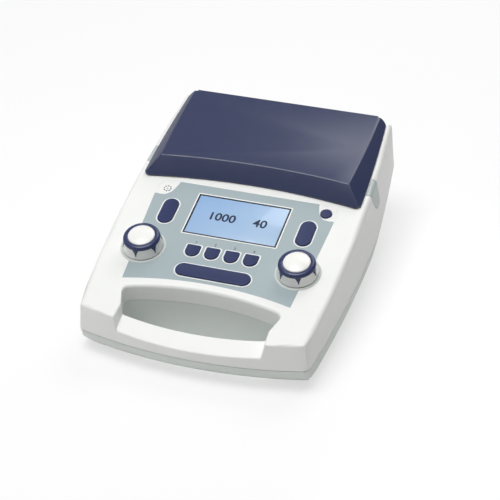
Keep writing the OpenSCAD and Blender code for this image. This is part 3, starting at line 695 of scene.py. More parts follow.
@dataclass(frozen=True)
class PlatedMetal(Finish):
    """Turned and plated metal: a clear shine broken by fine tool lines and a little tarnish."""

    def detail(self, tree: Tree, shader: Node, where: Socket) -> None:
        """Adds the tarnish and the tool lines.

        Args:
            tree: The material's nodes.
            shader: Its shader.
            where: The coordinates of the piece itself.
        """
        lines = add_node(tree, "TexNoise", {"Vector": where, "Scale": 1 / (0.15 * MM),
                                            "Detail": 2.0})
        self.show(tree, shader, self.drift(tree, where, 4.0, 0.0, 0.5, 4.0), lines.outputs["Fac"],
                  0.003)
        dulled = self.drift(tree, where, 1.2, self.roughness - 0.08, self.roughness + 0.1)
        feed(shader, {"Roughness": dulled, "Metallic": 1.0})


@dataclass(frozen=True)
class SolderMask(Finish):
    """Lacquered circuit board: a half gloss, with copper tracks that show through it.

    Args:
        track_mm: Distance between the tracks.
    """

    track_mm: float = 2.25

    def detail(self, tree: Tree, shader: Node, where: Socket) -> None:
        """Adds the tracks, as the joints of a fine brick pattern of four rows to a unit.

        Args:
            tree: The material's nodes.
            shader: Its shader.
            where: The coordinates of the piece itself.
        """
        black, white = (0, 0, 0, 1), (1, 1, 1, 1)
        tracks = add_node(tree, "TexBrick", {"Vector": where, "Scale": 0.25 / (self.track_mm * MM),
                                             "Mortar Size": 0.045, "Color1": black,
                                             "Color2": black, "Mortar": white})
        self.show(tree, shader, tracks.outputs["Fac"], tracks.outputs["Fac"], 0.03)
        feed(shader, {"Coat Weight": 0.5})


@dataclass(frozen=True)
class RibbonFilm(Finish):
    """Flat cable: parallel cores that show as ribs through the film.

    Args:
        pitch_mm: Distance between the cores.
    """

    pitch_mm: float = 1.2534

    def detail(self, tree: Tree, shader: Node, where: Socket) -> None:
        """Adds the ribs across the cable.

        Args:
            tree: The material's nodes.
            shader: Its shader.
            where: The coordinates of the piece itself.
        """
        ribs = add_node(tree, "TexWave", {"Vector": where, "Distortion": 0.0,
                                          "Scale": BAND / (self.pitch_mm * MM)},
                        bands_direction="X")
        self.show(tree, shader, ribs.outputs["Fac"], ribs.outputs["Fac"], 0.1)


@dataclass(frozen=True)
class CellFoam(Finish):
    """Closed-cell foam: dull, with painted shade in its cut cells.

    Args:
        cell_mm: Size of a cell.
    """

    cell_mm: float = 0.6

    def detail(self, tree: Tree, shader: Node, where: Socket) -> None:
        """Adds the cut cells, with painted shade in them.

        Args:
            tree: The material's nodes.
            shader: Its shader.
            where: The coordinates of the piece itself.
        """
        cells = add_node(tree, "TexVoronoi", {"Vector": where, "Scale": 1 / (self.cell_mm * MM)})
        # Painted shade: the darker colour grows with the distance from each cell's middle.
        self.show(tree, shader, cells.outputs["Distance"], cells.outputs["Distance"], 0.2)


class Finishes:
    """Every finish on the object, named for what it is."""

    shell = MouldedPlastic("white ABS shell", "#f1f2f0", 0.4, "#ebecea")
    lower = MouldedPlastic("grey-green ABS shell", "#dde2de", 0.42, "#d8ddd8")
    tray = MouldedPlastic("grey ABS tray", "#bcc2bc", 0.45, "#b4bab4", 0.7, 0.012)
    lid = MouldedPlastic("dark blue ABS lid", "#2c3558", 0.32, "#283153", 0.6, 0.006, 0.15)
    latch = MouldedPlastic("pale ABS latch", "#bcc5c5", 0.38, "#b5bfbf")
    overlay = CornerFilm("grey-green printed film", "#a4b2b6", 0.45, "#9eadb2")
    key = MouldedPlastic("dark blue key plastic", "#142558", 0.42, "#112150", 0.35, 0.006)
    outline = PrintedFilm("white ink", "#f2f4f3", 0.5, "#eceeee")
    ink = PrintedFilm("dark ink", "#2c3346", 0.5, "#262c3d")
    border = PrintedFilm("black ink border", "#15181f", 0.35, "#101318")
    screen = ScreenPane("blue-lit screen", "#8fb2dc", 0.3, "#adc8e4")
    digits = PrintedFilm("screen figures", "#1d2745", 0.3, "#18213c")
    pearl = PearlPlastic("pearl skirt plastic", "#e4e5e2", 0.34, "#f4f4f2")
    cap = MouldedPlastic("white cap plastic", "#f3f3f0", 0.3, "#eeeeea", 0.4, 0.004, 0.1)
    ring = MouldedPlastic("dark blue ring plastic", "#2b3560", 0.3, "#273058", 0.4, 0.005, 0.15)
    collar = MouldedPlastic("pale collar plastic", "#cfd5d3", 0.42, "#c9d0ce")
    rubber = Rubber("black rubber", "#1c1d1f", 0.75, "#2c2d2f")
    mat = Rubber("grey silicone mat", "#8a8e93", 0.6, "#969a9f")
    steel = PlatedMetal("bright zinc plate", "#b9bcc0", 0.32, "#a3a7ac")
    nickel = PlatedMetal("nickel plate", "#c4c6c8", 0.25, "#b0b2b5")
    brass = PlatedMetal("brass", "#c9a75c", 0.3, "#b08f4a")
    board = SolderMask("green solder mask", "#1f5a3c", 0.4, "#3a8a5c")
    cable = RibbonFilm("flat cable film", "#8e9aa3", 0.45, "#66717a")
    foam = CellFoam("black foam", "#202225", 0.9, "#131416")
    recess = MouldedPlastic("black bay plastic", "#24262a", 0.5, "#1f2125", 0.6, 0.012)


# ---------------------------------------------------------------- sub-assemblies


def finished(piece: Piece, finish: Finish) -> None:
    """Gives a piece one finish and no other."""
    piece.data.materials.clear()
    piece.data.materials.append(finish.material())


@dataclass
class SubAssembly(ABC):
    """A group of pieces that belong together."""

    pieces: list[Piece] = field(default_factory=list, init=False)

    @abstractmethod
    def build(self) -> None:
        """Models the pieces."""

    def dress(self) -> None:
        """Gives finishes to the CAD nodes that show as they are."""

    def fit(self, piece: Piece, body: str, finish: Finish, slot: str,
            node: str | None = None) -> None:
        """Fixes a finished piece to its body.

        Args:
            piece: The piece, in place.
            body: The body that it moves with.
            finish: Its finish.
            slot: The record's slot for that finish. It is not used.
            node: The CAD node that it stands for.
        """
        finished(piece, finish)
        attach(piece, body)
        if node:
            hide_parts(node)
        self.pieces.append(piece)

    def coat(self, finish: Finish, *nodes: str) -> None:
        """Gives a finish to CAD nodes that keep their own shape."""
        for node in nodes:
            finished(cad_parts[node], finish)


@dataclass(frozen=True)
class WallForm:
    """The finished form of the case's long walls: a crisp rim and a lean inward.

    Args:
        barrel_r: Radius of a long wall in plan, in metres.
        barrel_y: Where the case is widest.
        half_w: Half of the greatest width.
        rim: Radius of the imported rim.
        rim_edge: Radius of the finished rim.
        draft: How far a wall leans in for each metre above the parting line.
        reach: How far in from the wall the lean is felt.
        full: How far inside the rim's radius the lean is felt in full.
        front_r: Radius of the bowed front in plan.
        front_gap: How far the middle of the front lies behind its radius.
        front_edge: Height up to which the front leans back.
        front_lean: How far it leans back up to there.
        chin_r: Radius of the chin under the front.
        chin_top: Height at which the chin ends.
        corner: Radius of the front corners in plan.
    """

    barrel_r: float = 1.81
    barrel_y: float = 0.008
    half_w: float = 0.1475
    rim: float = 0.011
    rim_edge: float = 0.0035
    draft: float = 0.08
    reach: float = 0.0125
    full: float = 0.0005
    front_r: float = 0.5363
    front_gap: float = 0.0003
    front_edge: float = 0.059
    front_lean: float = 0.003
    chin_r: float = 0.026
    chin_top: float = 0.03
    corner: float = 0.014

    def wall(self, y: float) -> float:
        """Distance of the outer wall from the middle plane."""
        across = math.sqrt(self.barrel_r ** 2 - (y - self.barrel_y) ** 2)
        return across - self.barrel_r + self.half_w

    @staticmethod
    def stretch(a: float, b: float, radius: float, edge: float) -> float:
        """How far a point of a rounded corner moves from its middle, for a smaller rounding.

        Args:
            a: The point's distance from the middle, along one wall's normal.
            b: The same along the other wall's normal.
            radius: The rounding that the corner has.
            edge: The rounding that it gets.

        Returns:
            The factor on the point's distance from the middle.
        """
        if a <= 0.0 or b <= 0.0:
            return 1.0
        length = math.hypot(a, b)
        cosine, sine, inner = a / length, b / length, radius - edge
        straight = radius / max(cosine, sine)
        if straight * min(cosine, sine) <= inner:
            return straight / radius
        middle = inner * (cosine + sine)
        return (middle + math.sqrt(middle ** 2 - 2 * inner ** 2 + edge ** 2)) / radius

    def corner_frame(self, front: float) -> tuple[Vector, Vector, Vector]:
        """Finds the middle of a front corner's rounding, for a radius of the front.

        Args:
            front: Radius of the bowed front in plan.

        Returns:
            The middle, and the directions from it to the side wall and to the front.
        """
        side_c = Vector((self.half_w - self.barrel_r, self.barrel_y))
        front_c = Vector((0.0, self.front_r - self.front_gap + FRONT_Y))
        side_r, bow_r = self.barrel_r - self.corner, front - self.corner
        between = front_c - side_c
        along = (side_r ** 2 - bow_r ** 2 + between.length_squared) / (2 * between.length)
        axis = between.normalized()
        middle = (side_c + axis * along
                  + Vector((axis.y, -axis.x)) * math.sqrt(side_r ** 2 - along ** 2))
        return middle, (middle - side_c).normalized(), (middle - front_c).normalized()

    def cornered(self, point: Vector) -> Vector:
        """Moves a point at the right front corner in, so that the corner is round at any height.

        Args:
            point: The point, on the right half of the case.

        Returns:
            Its new place.
        """
        drop = min(self.chin_r, max(0.0, self.chin_top - point.z))
        rise = max(0.0, min(point.z, self.front_edge) - self.chin_top)
        front = (self.front_r - self.chin_r + math.sqrt(self.chin_r ** 2 - drop ** 2)
                 - rise * self.front_lean / (self.front_edge - self.chin_top))
        middle, to_side, to_front = self.corner_frame(front)
        arm = point.xy - middle
        if arm.length < 1e-6 or to_side.cross(arm) > 0.0 or to_front.cross(arm) < 0.0:
            return point
        ray = arm.normalized()
        outer = self.corner / max(ray.dot(to_side), ray.dot(to_front))
        packed, low_side, low_front = self.corner_frame(self.front_r)
        offset = packed - middle
        inside = self.corner ** 2 - offset.length_squared + ray.dot(offset) ** 2
        if inside > 0.0:
            hit = ray * (ray.dot(offset) + math.sqrt(inside)) - offset
            if low_side.cross(hit) <= 0.0 <= low_front.cross(hit):
                outer = min(outer, (hit + offset).length)
        new = middle + arm * min(1.0, self.corner / outer)
        return Vector((new.x, new.y, point.z))

    def moved(self, point: Vector) -> Vector:
        """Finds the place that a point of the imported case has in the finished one.

        Args:
            point: The point.

        Returns:
            Its new place.
        """
        side = math.copysign(1.0, point.x)
        point = self.cornered(Vector((abs(point.x), point.y, point.z)))
        q = TO_PANEL @ point
        rim_x = self.wall(point.y) - self.rim
        factor = self.stretch(q.x - rim_x, q.z + self.rim, self.rim, self.rim_edge)
        q.x = rim_x + (q.x - rim_x) * factor
        q.z = min(0.0, (q.z + self.rim) * factor - self.rim) if factor > 1.0 else q.z
        x, y, z = PANEL @ q
        inside = max(0.0, self.wall(y) - x)
        fade = self.reach - self.rim_edge - self.full
        felt = min(1.0, max(0.0, (self.reach - inside) / fade))
        x -= max(0.0, z - seam_height(y)) * self.draft * felt
        return Vector((side * x, y, z))

    def apply(self, piece: Piece) -> None:
        """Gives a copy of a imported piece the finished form."""
        for vertex in piece.data.vertices:
            vertex.co = self.moved(vertex.co)


@dataclass(frozen=True)
class HandOpening:
    """Where the hand opening and its handle bar lie, in metres.

    Args:
        foot: Depth under the panel to which its edges are rounded.
        back: Its back on the panel, at the middle plane.
        bow: How much further forward its back lies, for the square of the distance sideways.
        half_w: Half of its greatest width, with the roundings of its ends.
        bar_back: Place of the bar's back edge along the case.
        lip_start: Place where the lip starts to grow from the step's rounding to its own.
        lip_run: Length over which it grows.
        end_u: Distance of the bar's ends from the middle plane.
        end_half: Half of the width of such an end.
        end_back: Place of the ends' back along the case.
        end_low: Height of the foot of the ends.
        bar_half: Half of the length of the bar's front edge.
        bar_front: Place of that edge along the case.
    """

    foot: float = -0.0195
    back: float = -0.045
    bow: float = 1.36
    half_w: float = 0.115
    bar_back: float = -0.174
    lip_start: float = -0.158
    lip_run: float = 0.012
    end_u: float = 0.0875
    end_half: float = 0.004
    end_back: float = -0.1745
    end_low: float = 0.0435
    bar_half: float = 0.086
    bar_front: float = -0.176


@dataclass
class CaseShells(SubAssembly):
    """Upper and lower shell, with their moulded edges rounded.

    Args:
        lip: Radius of the lip of the hand opening, in metres.
        step: Radius of the step at each end of the handle bar, in metres.
        crease: Radius of the handle bar's long edges, in metres.
        seam: Radius of the edges at the parting line, in metres.
        opening: Where the hand opening lies.
    """

    lip: float = 0.0035
    step: float = 0.0018
    crease: float = 0.0013
    seam: float = 0.0006
    opening: HandOpening = HandOpening()

    def build(self) -> None:
        """Rounds copies of the two shells."""
        upper = cad_copy("upper_shell", 1.5e-4)
        WallForm().apply(upper)
        rounded(upper, self.lip, 5, self.upper_share)
        soften(upper, 52.0)
        modified(upper, "WEIGHTED_NORMAL", keep_sharp=True)
        self.fit(upper, "case", Finishes.shell, "shell_white", "upper_shell")
        lower = cad_copy("lower_shell")
        WallForm().apply(lower)
        rounded(lower, self.seam, 2, self.lower_share)
        soften(lower, 42.0)
        self.fit(lower, "case", Finishes.lower, "shell_grey", "lower_shell")

    @staticmethod
    def lower_share(a: Vector, b: Vector, angle: float, convex: bool) -> float:
        """Shares out the rounding of the lower shell: its edges at the parting line.

        Args:
            a: One end of the edge.
            b: The other end.
            angle: The angle between its faces, in degrees.
            convex: Whether it is convex.

        Returns:
            The edge's share of the rounding, from 0 to 1.
        """
        level = max(abs(p.z + SEAM_GAP - seam_height(p.y)) for p in (a, b)) < SEAM_REACH
        return float(convex and level)

    def upper_share(self, a: Vector, b: Vector, angle: float, convex: bool) -> float:
        """Shares out the rounding of the upper shell: the lip of the hand opening, the steps
        beside the handle, the handle's front edge and the edges at the parting line.

        Args:
            a: One end of the edge.
            b: The other end.
            angle: The angle between its faces, in degrees.
            convex: Whether it is convex.

        Returns:
            The edge's share of the rounding, from 0 to 1.
        """
        on_panel = 3e-4
        step, crease, seam = (size / self.lip for size in (self.step, self.crease, self.seam))
        hand = self.opening
        middle, along = (a + b) / 2, (a - b).normalized()
        if convex and max(abs(p.z - seam_height(p.y)) for p in (a, b)) < SEAM_REACH:
            return seam if abs(along.z) < 0.5 else 0.0
        u, v, n = TO_PANEL @ middle
        if n < hand.foot or v > hand.back - hand.bow * u ** 2 or abs(u) > hand.half_w:
            return 0.0
        if convex and angle > 25.0 and max(abs((TO_PANEL @ p).z) for p in (a, b)) < on_panel:
            if middle.y < hand.bar_back and abs(along.x) > 0.5:
                return 0.0
            grown = (middle.y - hand.lip_start) / hand.lip_run
            return min(1.0, max(step, step + grown * (1.0 - step)))
        if abs(abs(u) - hand.end_u) < hand.end_half and middle.y < hand.end_back:
            return step if angle > 60.0 and middle.z > hand.end_low else 0.0
        if abs(u) < hand.bar_half and convex and angle > 50.0 and abs(along.x) > 0.5:
            return crease if middle.y < hand.bar_front else 0.0
        return 0.0


@dataclass
class StorageWell(SubAssembly):
    """The storage tray under the lid, the lid and what it turns and rests on.

    Args:
        crease: Width of the rounding on the lid's creases, in metres.
        foot: Height over the panel under which the lid's edges stay as they are.
        hinge: Place up the panel where its hinge side starts.
        stub: Length of the hinge side's small edges, which stay as they are.
    """

    crease: float = 0.0013
    foot: float = 0.006
    hinge: float = 0.2
    stub: float = 0.01

    def build(self) -> None:
        """Rounds a copy of the lid."""
        lid = cad_copy("lid")
        rounded(lid, self.crease, 3, self.share)
        soften(lid, 24.0)
        self.fit(lid, "lid", Finishes.lid, "lid_blue", "lid")

    def share(self, a: Vector, b: Vector, angle: float, convex: bool) -> float:
        """Shares out the rounding of the lid: all on its creases, none at its rim and hinge.

        Args:
            a: One end of the edge.
            b: The other end.
            angle: The angle between its faces, in degrees.
            convex: Whether it is convex.

        Returns:
            The edge's share of the rounding, from 0 to 1.
        """
        _, v, n = TO_PANEL @ ((a + b) / 2)
        upward = abs((a - b).normalized().x) < 0.5 and (a - b).length > self.stub
        return float(convex and 18.0 < angle < 75.0 and n > self.foot
                     and (v < self.hinge or upward))

    def dress(self) -> None:
        """Finishes the tray, the bumpers and the pins."""
        self.coat(Finishes.tray, "storage_tray")
        self.coat(Finishes.rubber, "lid_bumpers")
        self.coat(Finishes.steel, "hinge_pins")


@dataclass
class Latches(SubAssembly):
    """The two latches at the sides."""

    def build(self) -> None:
        """Copies the two latches."""
        for side in Side:
            node = f"latch_{side.word}"
            latch = cad_copy(node)
            WallForm().apply(latch)
            soften(latch, 50.0)
            self.fit(latch, node, Finishes.latch, "latch_grey", node)

    def dress(self) -> None:
        """Finishes the pins."""
        self.coat(Finishes.steel, "latch_pins")


@dataclass(frozen=True)
class KeySpec:
    """One key.

    Args:
        node: Its body and its node.
        kind: Its outline.
        u: Its place across the panel, in millimetres.
        v: Its place up the panel.
    """

    node: str
    kind: KeyKind
    u: float
    v: float


@dataclass
class Keys(SubAssembly):
    """The eight keys, and the white rims printed round them. Sizes are in millimetres.

    Args:
        rise: How far a key stands over the panel.
        round_over: Radius of a key's top edge.
        dish_in: How far inside that edge a key's top is dished.
        dish: Depth of the dish.
        rim: Width of a white rim.
        rim_n: Height of a white rim.
        gap: Gap between a key and its rim.
        oval_r: Half of the width of an upright key and of the bar.
        oval_run: Half of the straight part of an upright key.
        bar_run: Half of the straight part of the bar.
        row_r: Half of the width of a key in the row.
        row_back: How far back such a key reaches from its place.
        row_cut: Width of its back corners.
        round_r: Radius of the round key.
        flange_n: Height of the top of the flange that keeps a key in.
        flange_t: Thickness of the flange.
        flange_out: How far the flange stands out.
        stem_n: Height of the foot of the stem.
        stem_in: How far the stem lies inside the flange.
        stem_in_round: The same on the round key.
        specs: The keys.
    """

    rise: float = 1.9
    round_over: float = 0.9
    dish_in: float = 1.2
    dish: float = 0.12
    rim: float = 1.6
    rim_n: float = 0.35
    gap: float = 0.55
    oval_r: float = 9.1
    oval_run: float = 10.7
    bar_run: float = 35.7
    row_r: float = 8.2
    row_back: float = 8.9
    row_cut: float = 1.6
    round_r: float = 6.9
    flange_n: float = -3.4
    flange_t: float = 1.6
    flange_out: float = 1.1
    stem_n: float = -8.0
    stem_in: float = 4.0
    stem_in_round: float = 3.0
    specs: tuple[KeySpec, ...] = (
        KeySpec("key_left", KeyKind.OVAL, -84.8, 61.2),
        KeySpec("key_right", KeyKind.OVAL, 84.8, 61.2),
        KeySpec("key_f1", KeyKind.ROW, -35.25, 5.5),
        KeySpec("key_f2", KeyKind.ROW, -11.75, 5.5),
        KeySpec("key_f3", KeyKind.ROW, 11.75, 5.5),
        KeySpec("key_f4", KeyKind.ROW, 35.25, 5.5),
        KeySpec("tone_bar", KeyKind.BAR, 0.0, -24.4),
        KeySpec("power_key", KeyKind.ROUND, 98.8, 97.4),
    )

    def outline_block(self, name: str, kind: KeyKind, grow: float, low: float,
                      high: float) -> Piece:
        """Makes a block with a key's outline.

        Args:
            name: The block's name.
            kind: Which outline.
            grow: How far the outline is moved out.
            low: Height of its foot.
            high: Height of its top.

        Returns:
            The block.
        """
        if kind is KeyKind.ROUND:
            bpy.ops.object.select_all(action="DESELECT")
            bpy.ops.mesh.primitive_cylinder_add(vertices=72, radius=self.round_r + grow,
                                                depth=high - low,
                                                location=(0, 0, (low + high) / 2))
            return named(name)
        flat, segments = 0.01, 20  # what is left of a straight end, and strips of a rounding
        if kind is KeyKind.ROW:
            across, back = self.row_r + grow, self.row_back + grow
            piece = block(name, (-across, -across, low), (across, back, high))
            with editing(piece, "EDGE"):
                pick_edges(piece, lambda a, b: upright(a, b) and a.y < 0)
                bpy.ops.mesh.bevel(offset=across - flat, segments=segments)
                pick_edges(piece, lambda a, b: upright(a, b) and a.y > back - 0.1)
                bpy.ops.mesh.bevel(offset=self.row_cut + grow / 2, segments=4)
        else:
            r = self.oval_r + grow
            across, along = (r, self.oval_run + r)
            if kind is KeyKind.BAR:
                across, along = (self.bar_run + r, r)
            piece = block(name, (-across, -along, low), (across, along, high))
            with editing(piece, "EDGE"):
                pick_edges(piece, upright)
                bpy.ops.mesh.bevel(offset=r - flat, segments=segments)
        tidy(piece, 0.1)
        return piece

    def key(self, spec: KeySpec) -> Piece:
        """Models one key: its rounded cap, the flange that keeps it in and its stem.

        Args:
            spec: The key.

        Returns:
            The piece, in place.
        """
        extrude = bpy.ops.mesh.extrude_region_move
        piece = self.outline_block(f"{spec.node}_cap", spec.kind, 0.0, self.flange_n, self.rise)
        with editing(piece):
            pick_faces(piece, lambda c, n: n.z > 0.9)
            bpy.ops.mesh.bevel(offset=self.round_over, segments=4, profile=0.6)
            pick_faces(piece, lambda c, n: n.z > 0.999 and c.z > self.rise - 1e-3)
            bpy.ops.mesh.inset(thickness=self.dish_in)
            bpy.ops.transform.translate(value=(0.0, 0.0, -self.dish))
            pick_faces(piece, lambda c, n: n.z < -0.9)
            moved_by(extrude, 0.0)
            wide = 1.0 + self.flange_out / self.oval_r
            long = 1.0 + self.flange_out / (self.bar_run + self.oval_r)
            bpy.ops.transform.resize(value=(long if spec.kind is KeyKind.BAR else wide, wide, 1.0),
                                     center_override=(0, 0, self.flange_n))
            moved_by(extrude, -self.flange_t)
            round_key = spec.kind is KeyKind.ROUND
            bpy.ops.mesh.inset(thickness=self.stem_in_round if round_key else self.stem_in)
            moved_by(extrude, self.stem_n - self.flange_n + self.flange_t)
        tidy(piece)
        soften(piece, 35.0)
        return placed(piece, (spec.u, spec.v, 0.0))

    def white_rim(self, spec: KeySpec) -> Piece:
        """Models the raised white rim round one key.

        Args:
            spec: The key.

        Returns:
            The piece, in place.
        """
        crease, top = math.radians(40.0), self.rim_n - 0.01
        piece = self.outline_block(f"{spec.node}_rim", spec.kind, self.gap + self.rim, 0.0,
                                   self.rim_n)
        with editing(piece):
            pick_faces(piece, lambda c, n: n.z > 0.9)
            bpy.ops.mesh.inset(thickness=self.rim)
            bpy.ops.mesh.delete(type="FACE")
            pick_faces(piece, lambda c, n: n.z < -0.9)
            bpy.ops.mesh.delete(type="FACE")
        with editing(piece, "EDGE"):
            pick(piece, "edges", lambda edge: edge.is_boundary and edge.verts[0].co.z > top)
            moved_by(bpy.ops.mesh.extrude_edges_move, -self.rim_n)
            pick(piece, "edges", lambda edge: len(edge.link_faces) == 2
                 and edge.calc_face_angle(0.0) >= crease
                 and min(vert.co.z for vert in edge.verts) > top)
            bpy.ops.mesh.bevel(offset=0.25, segments=3)
        tidy(piece)
        soften(piece, 40.0)
        return placed(piece, (spec.u, spec.v, 0.0))

    def build(self) -> None:
        """Models the keys and their rims."""
        for spec in self.specs:
            self.fit(self.key(spec), spec.node, Finishes.key, "key_blue", spec.node)
            if spec.kind is not KeyKind.ROUND:
                self.fit(self.white_rim(spec), "case", Finishes.outline, "overlay_slate")

    def dress(self) -> None:
        """Finishes the mat that the keys press on."""
        self.coat(Finishes.mat, "key_mat")


@dataclass
class Dials(SubAssembly):
    """The two dials: pearl skirt, ring with pointed tabs, domed cap, and the collar below.

    Args:
        u: Distance of a dial from the middle plane, in millimetres.
        foot_r: Radius of the skirt at its foot.
        top_r: Radius of the skirt at its shoulder.
        foot_n: Height of the foot over the panel.
        height: Height of the shoulder over the panel.
        cap_r: Radius of the cap.
        dome: How far the middle of the cap stands over the shoulder.
        tabs: How many pointed tabs a ring has.
        tab_reach: How far a tab reaches down the skirt.
        tab_half: Half of its width at the ring.
        tab_thick: Its thickness.
        tab_tip: Width of its tip, as a share of its width at the ring.
        phases: How far each ring is turned, in degrees.
    """

    u: float = 93.7
    foot_r: float = 23.8
    top_r: float = 21.0
    foot_n: float = 1.7
    height: float = 15.5
    cap_r: float = 15.7
    dome: float = 6.0
    tabs: int = 6
    tab_reach: float = 8.6
    tab_half: float = 4.2
    tab_thick: float = 0.7
    tab_tip: float = 0.1
    phases: dict[Side, float] = field(default_factory=lambda: {Side.LEFT: 30.0,
                                                               Side.RIGHT: -10.0})

    def spot(self, piece: Piece, side: Side) -> Piece:
        """Puts a piece of a dial in its place."""
        return placed(piece, (side.value * self.u, 0.0, 0.0))

    def skirt(self, side: Side) -> Piece:
        """Turns the skirt, with its small foot bead and a rounded shoulder.

        Args:
            side: The dial's side.

        Returns:
            The piece, in place.
        """
        h, foot, low, top = self.height, self.foot_r, self.foot_n, self.top_r
        profile = [(3.05, h - 1.3), (3.05, 7.0), (6.0, 7.0), (6.0, h - 3.5), (top - 2.6, h - 3.5),
                   (foot - 2.2, low), (foot - 0.35, low), (foot - 0.08, low + 0.12),
                   (foot, low + 0.4), (foot, low + 1.1), (foot - 0.25, low + 1.6),
                   (foot - 1.5, low + 7.5), (top + 0.2, h - 1.0), (top, h - 0.4), (top - 0.6, h),
                   (self.cap_r - 1, h)]
        piece = turned(f"dial_skirt_{side.word}", profile, cap_start=True, cap_end=True)
        soften(piece, 35.0)
        return self.spot(piece, side)

    def ring(self, side: Side) -> Piece:
        """Turns the ring and joins the pointed tabs to it.

        Args:
            side: The dial's side.

        Returns:
            The piece, in place.
        """
        h, top, rise, inner = self.height, self.top_r, self.height + 3.0, self.cap_r
        profile = [(inner + 0.15, h + 0.05), (top + 0.25, h - 1.3), (top + 0.75, h - 1.2),
                   (top + 0.8, h - 0.6), (top + 0.55, h + 0.6), (top, h + 1.6),
                   (top - 1.0, h + 2.5), (top - 2.2, rise - 0.05), (inner + 0.6, rise),
                   (inner + 0.2, rise - 0.25), (inner + 0.15, h + 0.05)]
        ring = turned(f"dial_ring_{side.word}", profile)
        soften(ring, 35.0)
        parts = [ring]
        for i in range(self.tabs):
            tab = self.tab(f"dial_tab_{side.word}_{i}")
            angle = self.phases[side] + i * 360 / self.tabs
            tab.matrix_world = Matrix.Rotation(math.radians(angle), 4, "Z")
            parts.append(tab)
        return self.spot(joined(parts, ring.name), side)

    def tab(self, name: str) -> Piece:
        """Models one tab: a plate drawn to a point, bent onto the skirt's cone.

        Args:
            name: The piece's name.

        Returns:
            The piece, on a dial at the origin.
        """
        h, reach, half, tip, root = self.height, self.tab_reach, self.tab_half, self.tab_tip, 20.0
        slope = (self.foot_r - 0.25 - self.top_r - 0.2) / (h - 1.0 - self.foot_n - 1.6)
        piece = block(name, (root, -half, h - 1.0 - reach), (root + self.tab_thick, half, h - 0.6))
        with editing(piece, "VERT"):
            pick(piece, "verts", lambda vert: vert.co.z < h - 2)
            bpy.ops.transform.resize(value=(1.0, tip, 1.0), center_override=(root, 0.0, 0.0))
        with editing(piece, "EDGE"):
            pick_edges(piece, lambda a, b: abs(a.x - b.x) < 1e-3 and a.x > root + 0.1)
            bpy.ops.mesh.bevel(offset=0.3, segments=2)
        cuts = [((0, 0, h - 1.0 - reach + low * 1.1), (0, 0, 1)) for low in range(1, 9)]
        cuts += [((0, across, 0), (0, 1, 0)) for across in (-2.8, -1.4, 0.0, 1.4, 2.8)]
        for place, normal in cuts:
            with editing(piece, everything=True):
                bpy.ops.mesh.bisect(plane_co=place, plane_no=normal)
        narrow, hollow = 1.0 - tip, 1.8
        for vert in piece.data.vertices:
            low = h - 1.0 - vert.co.z
            share = min(1.0, max(0.0, low / reach))
            vert.co.y *= (tip + narrow * (1.0 - share) ** hollow) / (1.0 - narrow * share)
            radius = self.top_r + 0.12 + slope * low + (vert.co.x - root)
            angle = vert.co.y / (self.top_r + 1)
            vert.co = (radius * math.cos(angle), radius * math.sin(angle), vert.co.z)
        tidy(piece)
        soften(piece, 35.0)
        return piece

    def cap(self, side: Side) -> Piece:
        """Turns the domed cap with its rounded edge.

        Args:
            side: The dial's side.

        Returns:
            The piece, in place.
        """
        h, r, steps = self.height, self.cap_r, 8
        edge, brim = r - 0.6, 3.5
        profile = [(r, h), (r, h + 2.6), (r - 0.15, h + 3.1), (edge, h + brim)]
        for i in range(1, steps + 1):
            out = 1 - i / steps
            profile.append((edge * out, h + brim + (self.dome - brim) * (1 - out ** 2)))
        piece = turned(f"dial_cap_{side.word}", profile, cap_start=True)
        soften(piece, 40.0)
        return self.spot(piece, side)

    def collar(self, side: Side) -> Piece:
        """Turns the raised collar under a dial.

        Args:
            side: The dial's side.

        Returns:
            The piece, in place.
        """
        r = self.foot_r
        profile = [(r - 2.0, 0.0), (r + 3.0, 0.0), (r + 2.7, 0.35), (r + 1.9, 0.85),
                   (r + 1.2, 1.1), (r + 0.7, 1.1), (r + 0.4, 0.9), (r - 2.0, 0.9), (r - 2.0, 0.0)]
        piece = turned(f"dial_collar_{side.word}", profile)
        soften(piece, 35.0)
        return self.spot(piece, side)

    def build(self) -> None:
        """Models both dials and their collars."""
        collars = []
        for side in Side:
            body = f"dial_{side.word}"
            self.fit(self.skirt(side), body, Finishes.pearl, "dial_pearl", f"knob_{side.word}")
            self.fit(self.ring(side), body, Finishes.ring, "ring_blue", f"knob_ring_{side.word}")
            self.fit(self.cap(side), body, Finishes.cap, "cap_white", f"knob_cap_{side.word}")
            collars.append(self.collar(side))
        self.fit(joined(collars, "dial_collar_pair"), "case", Finishes.collar, "collar_white",
                 "dial_collars")

    def dress(self) -> None:
        """Finishes the shafts, the encoders and their nuts."""
        self.coat(Finishes.steel, "shaft_left", "shaft_right")
        self.coat(Finishes.nickel, "encoders")
        self.coat(Finishes.brass, "encoder_nuts")


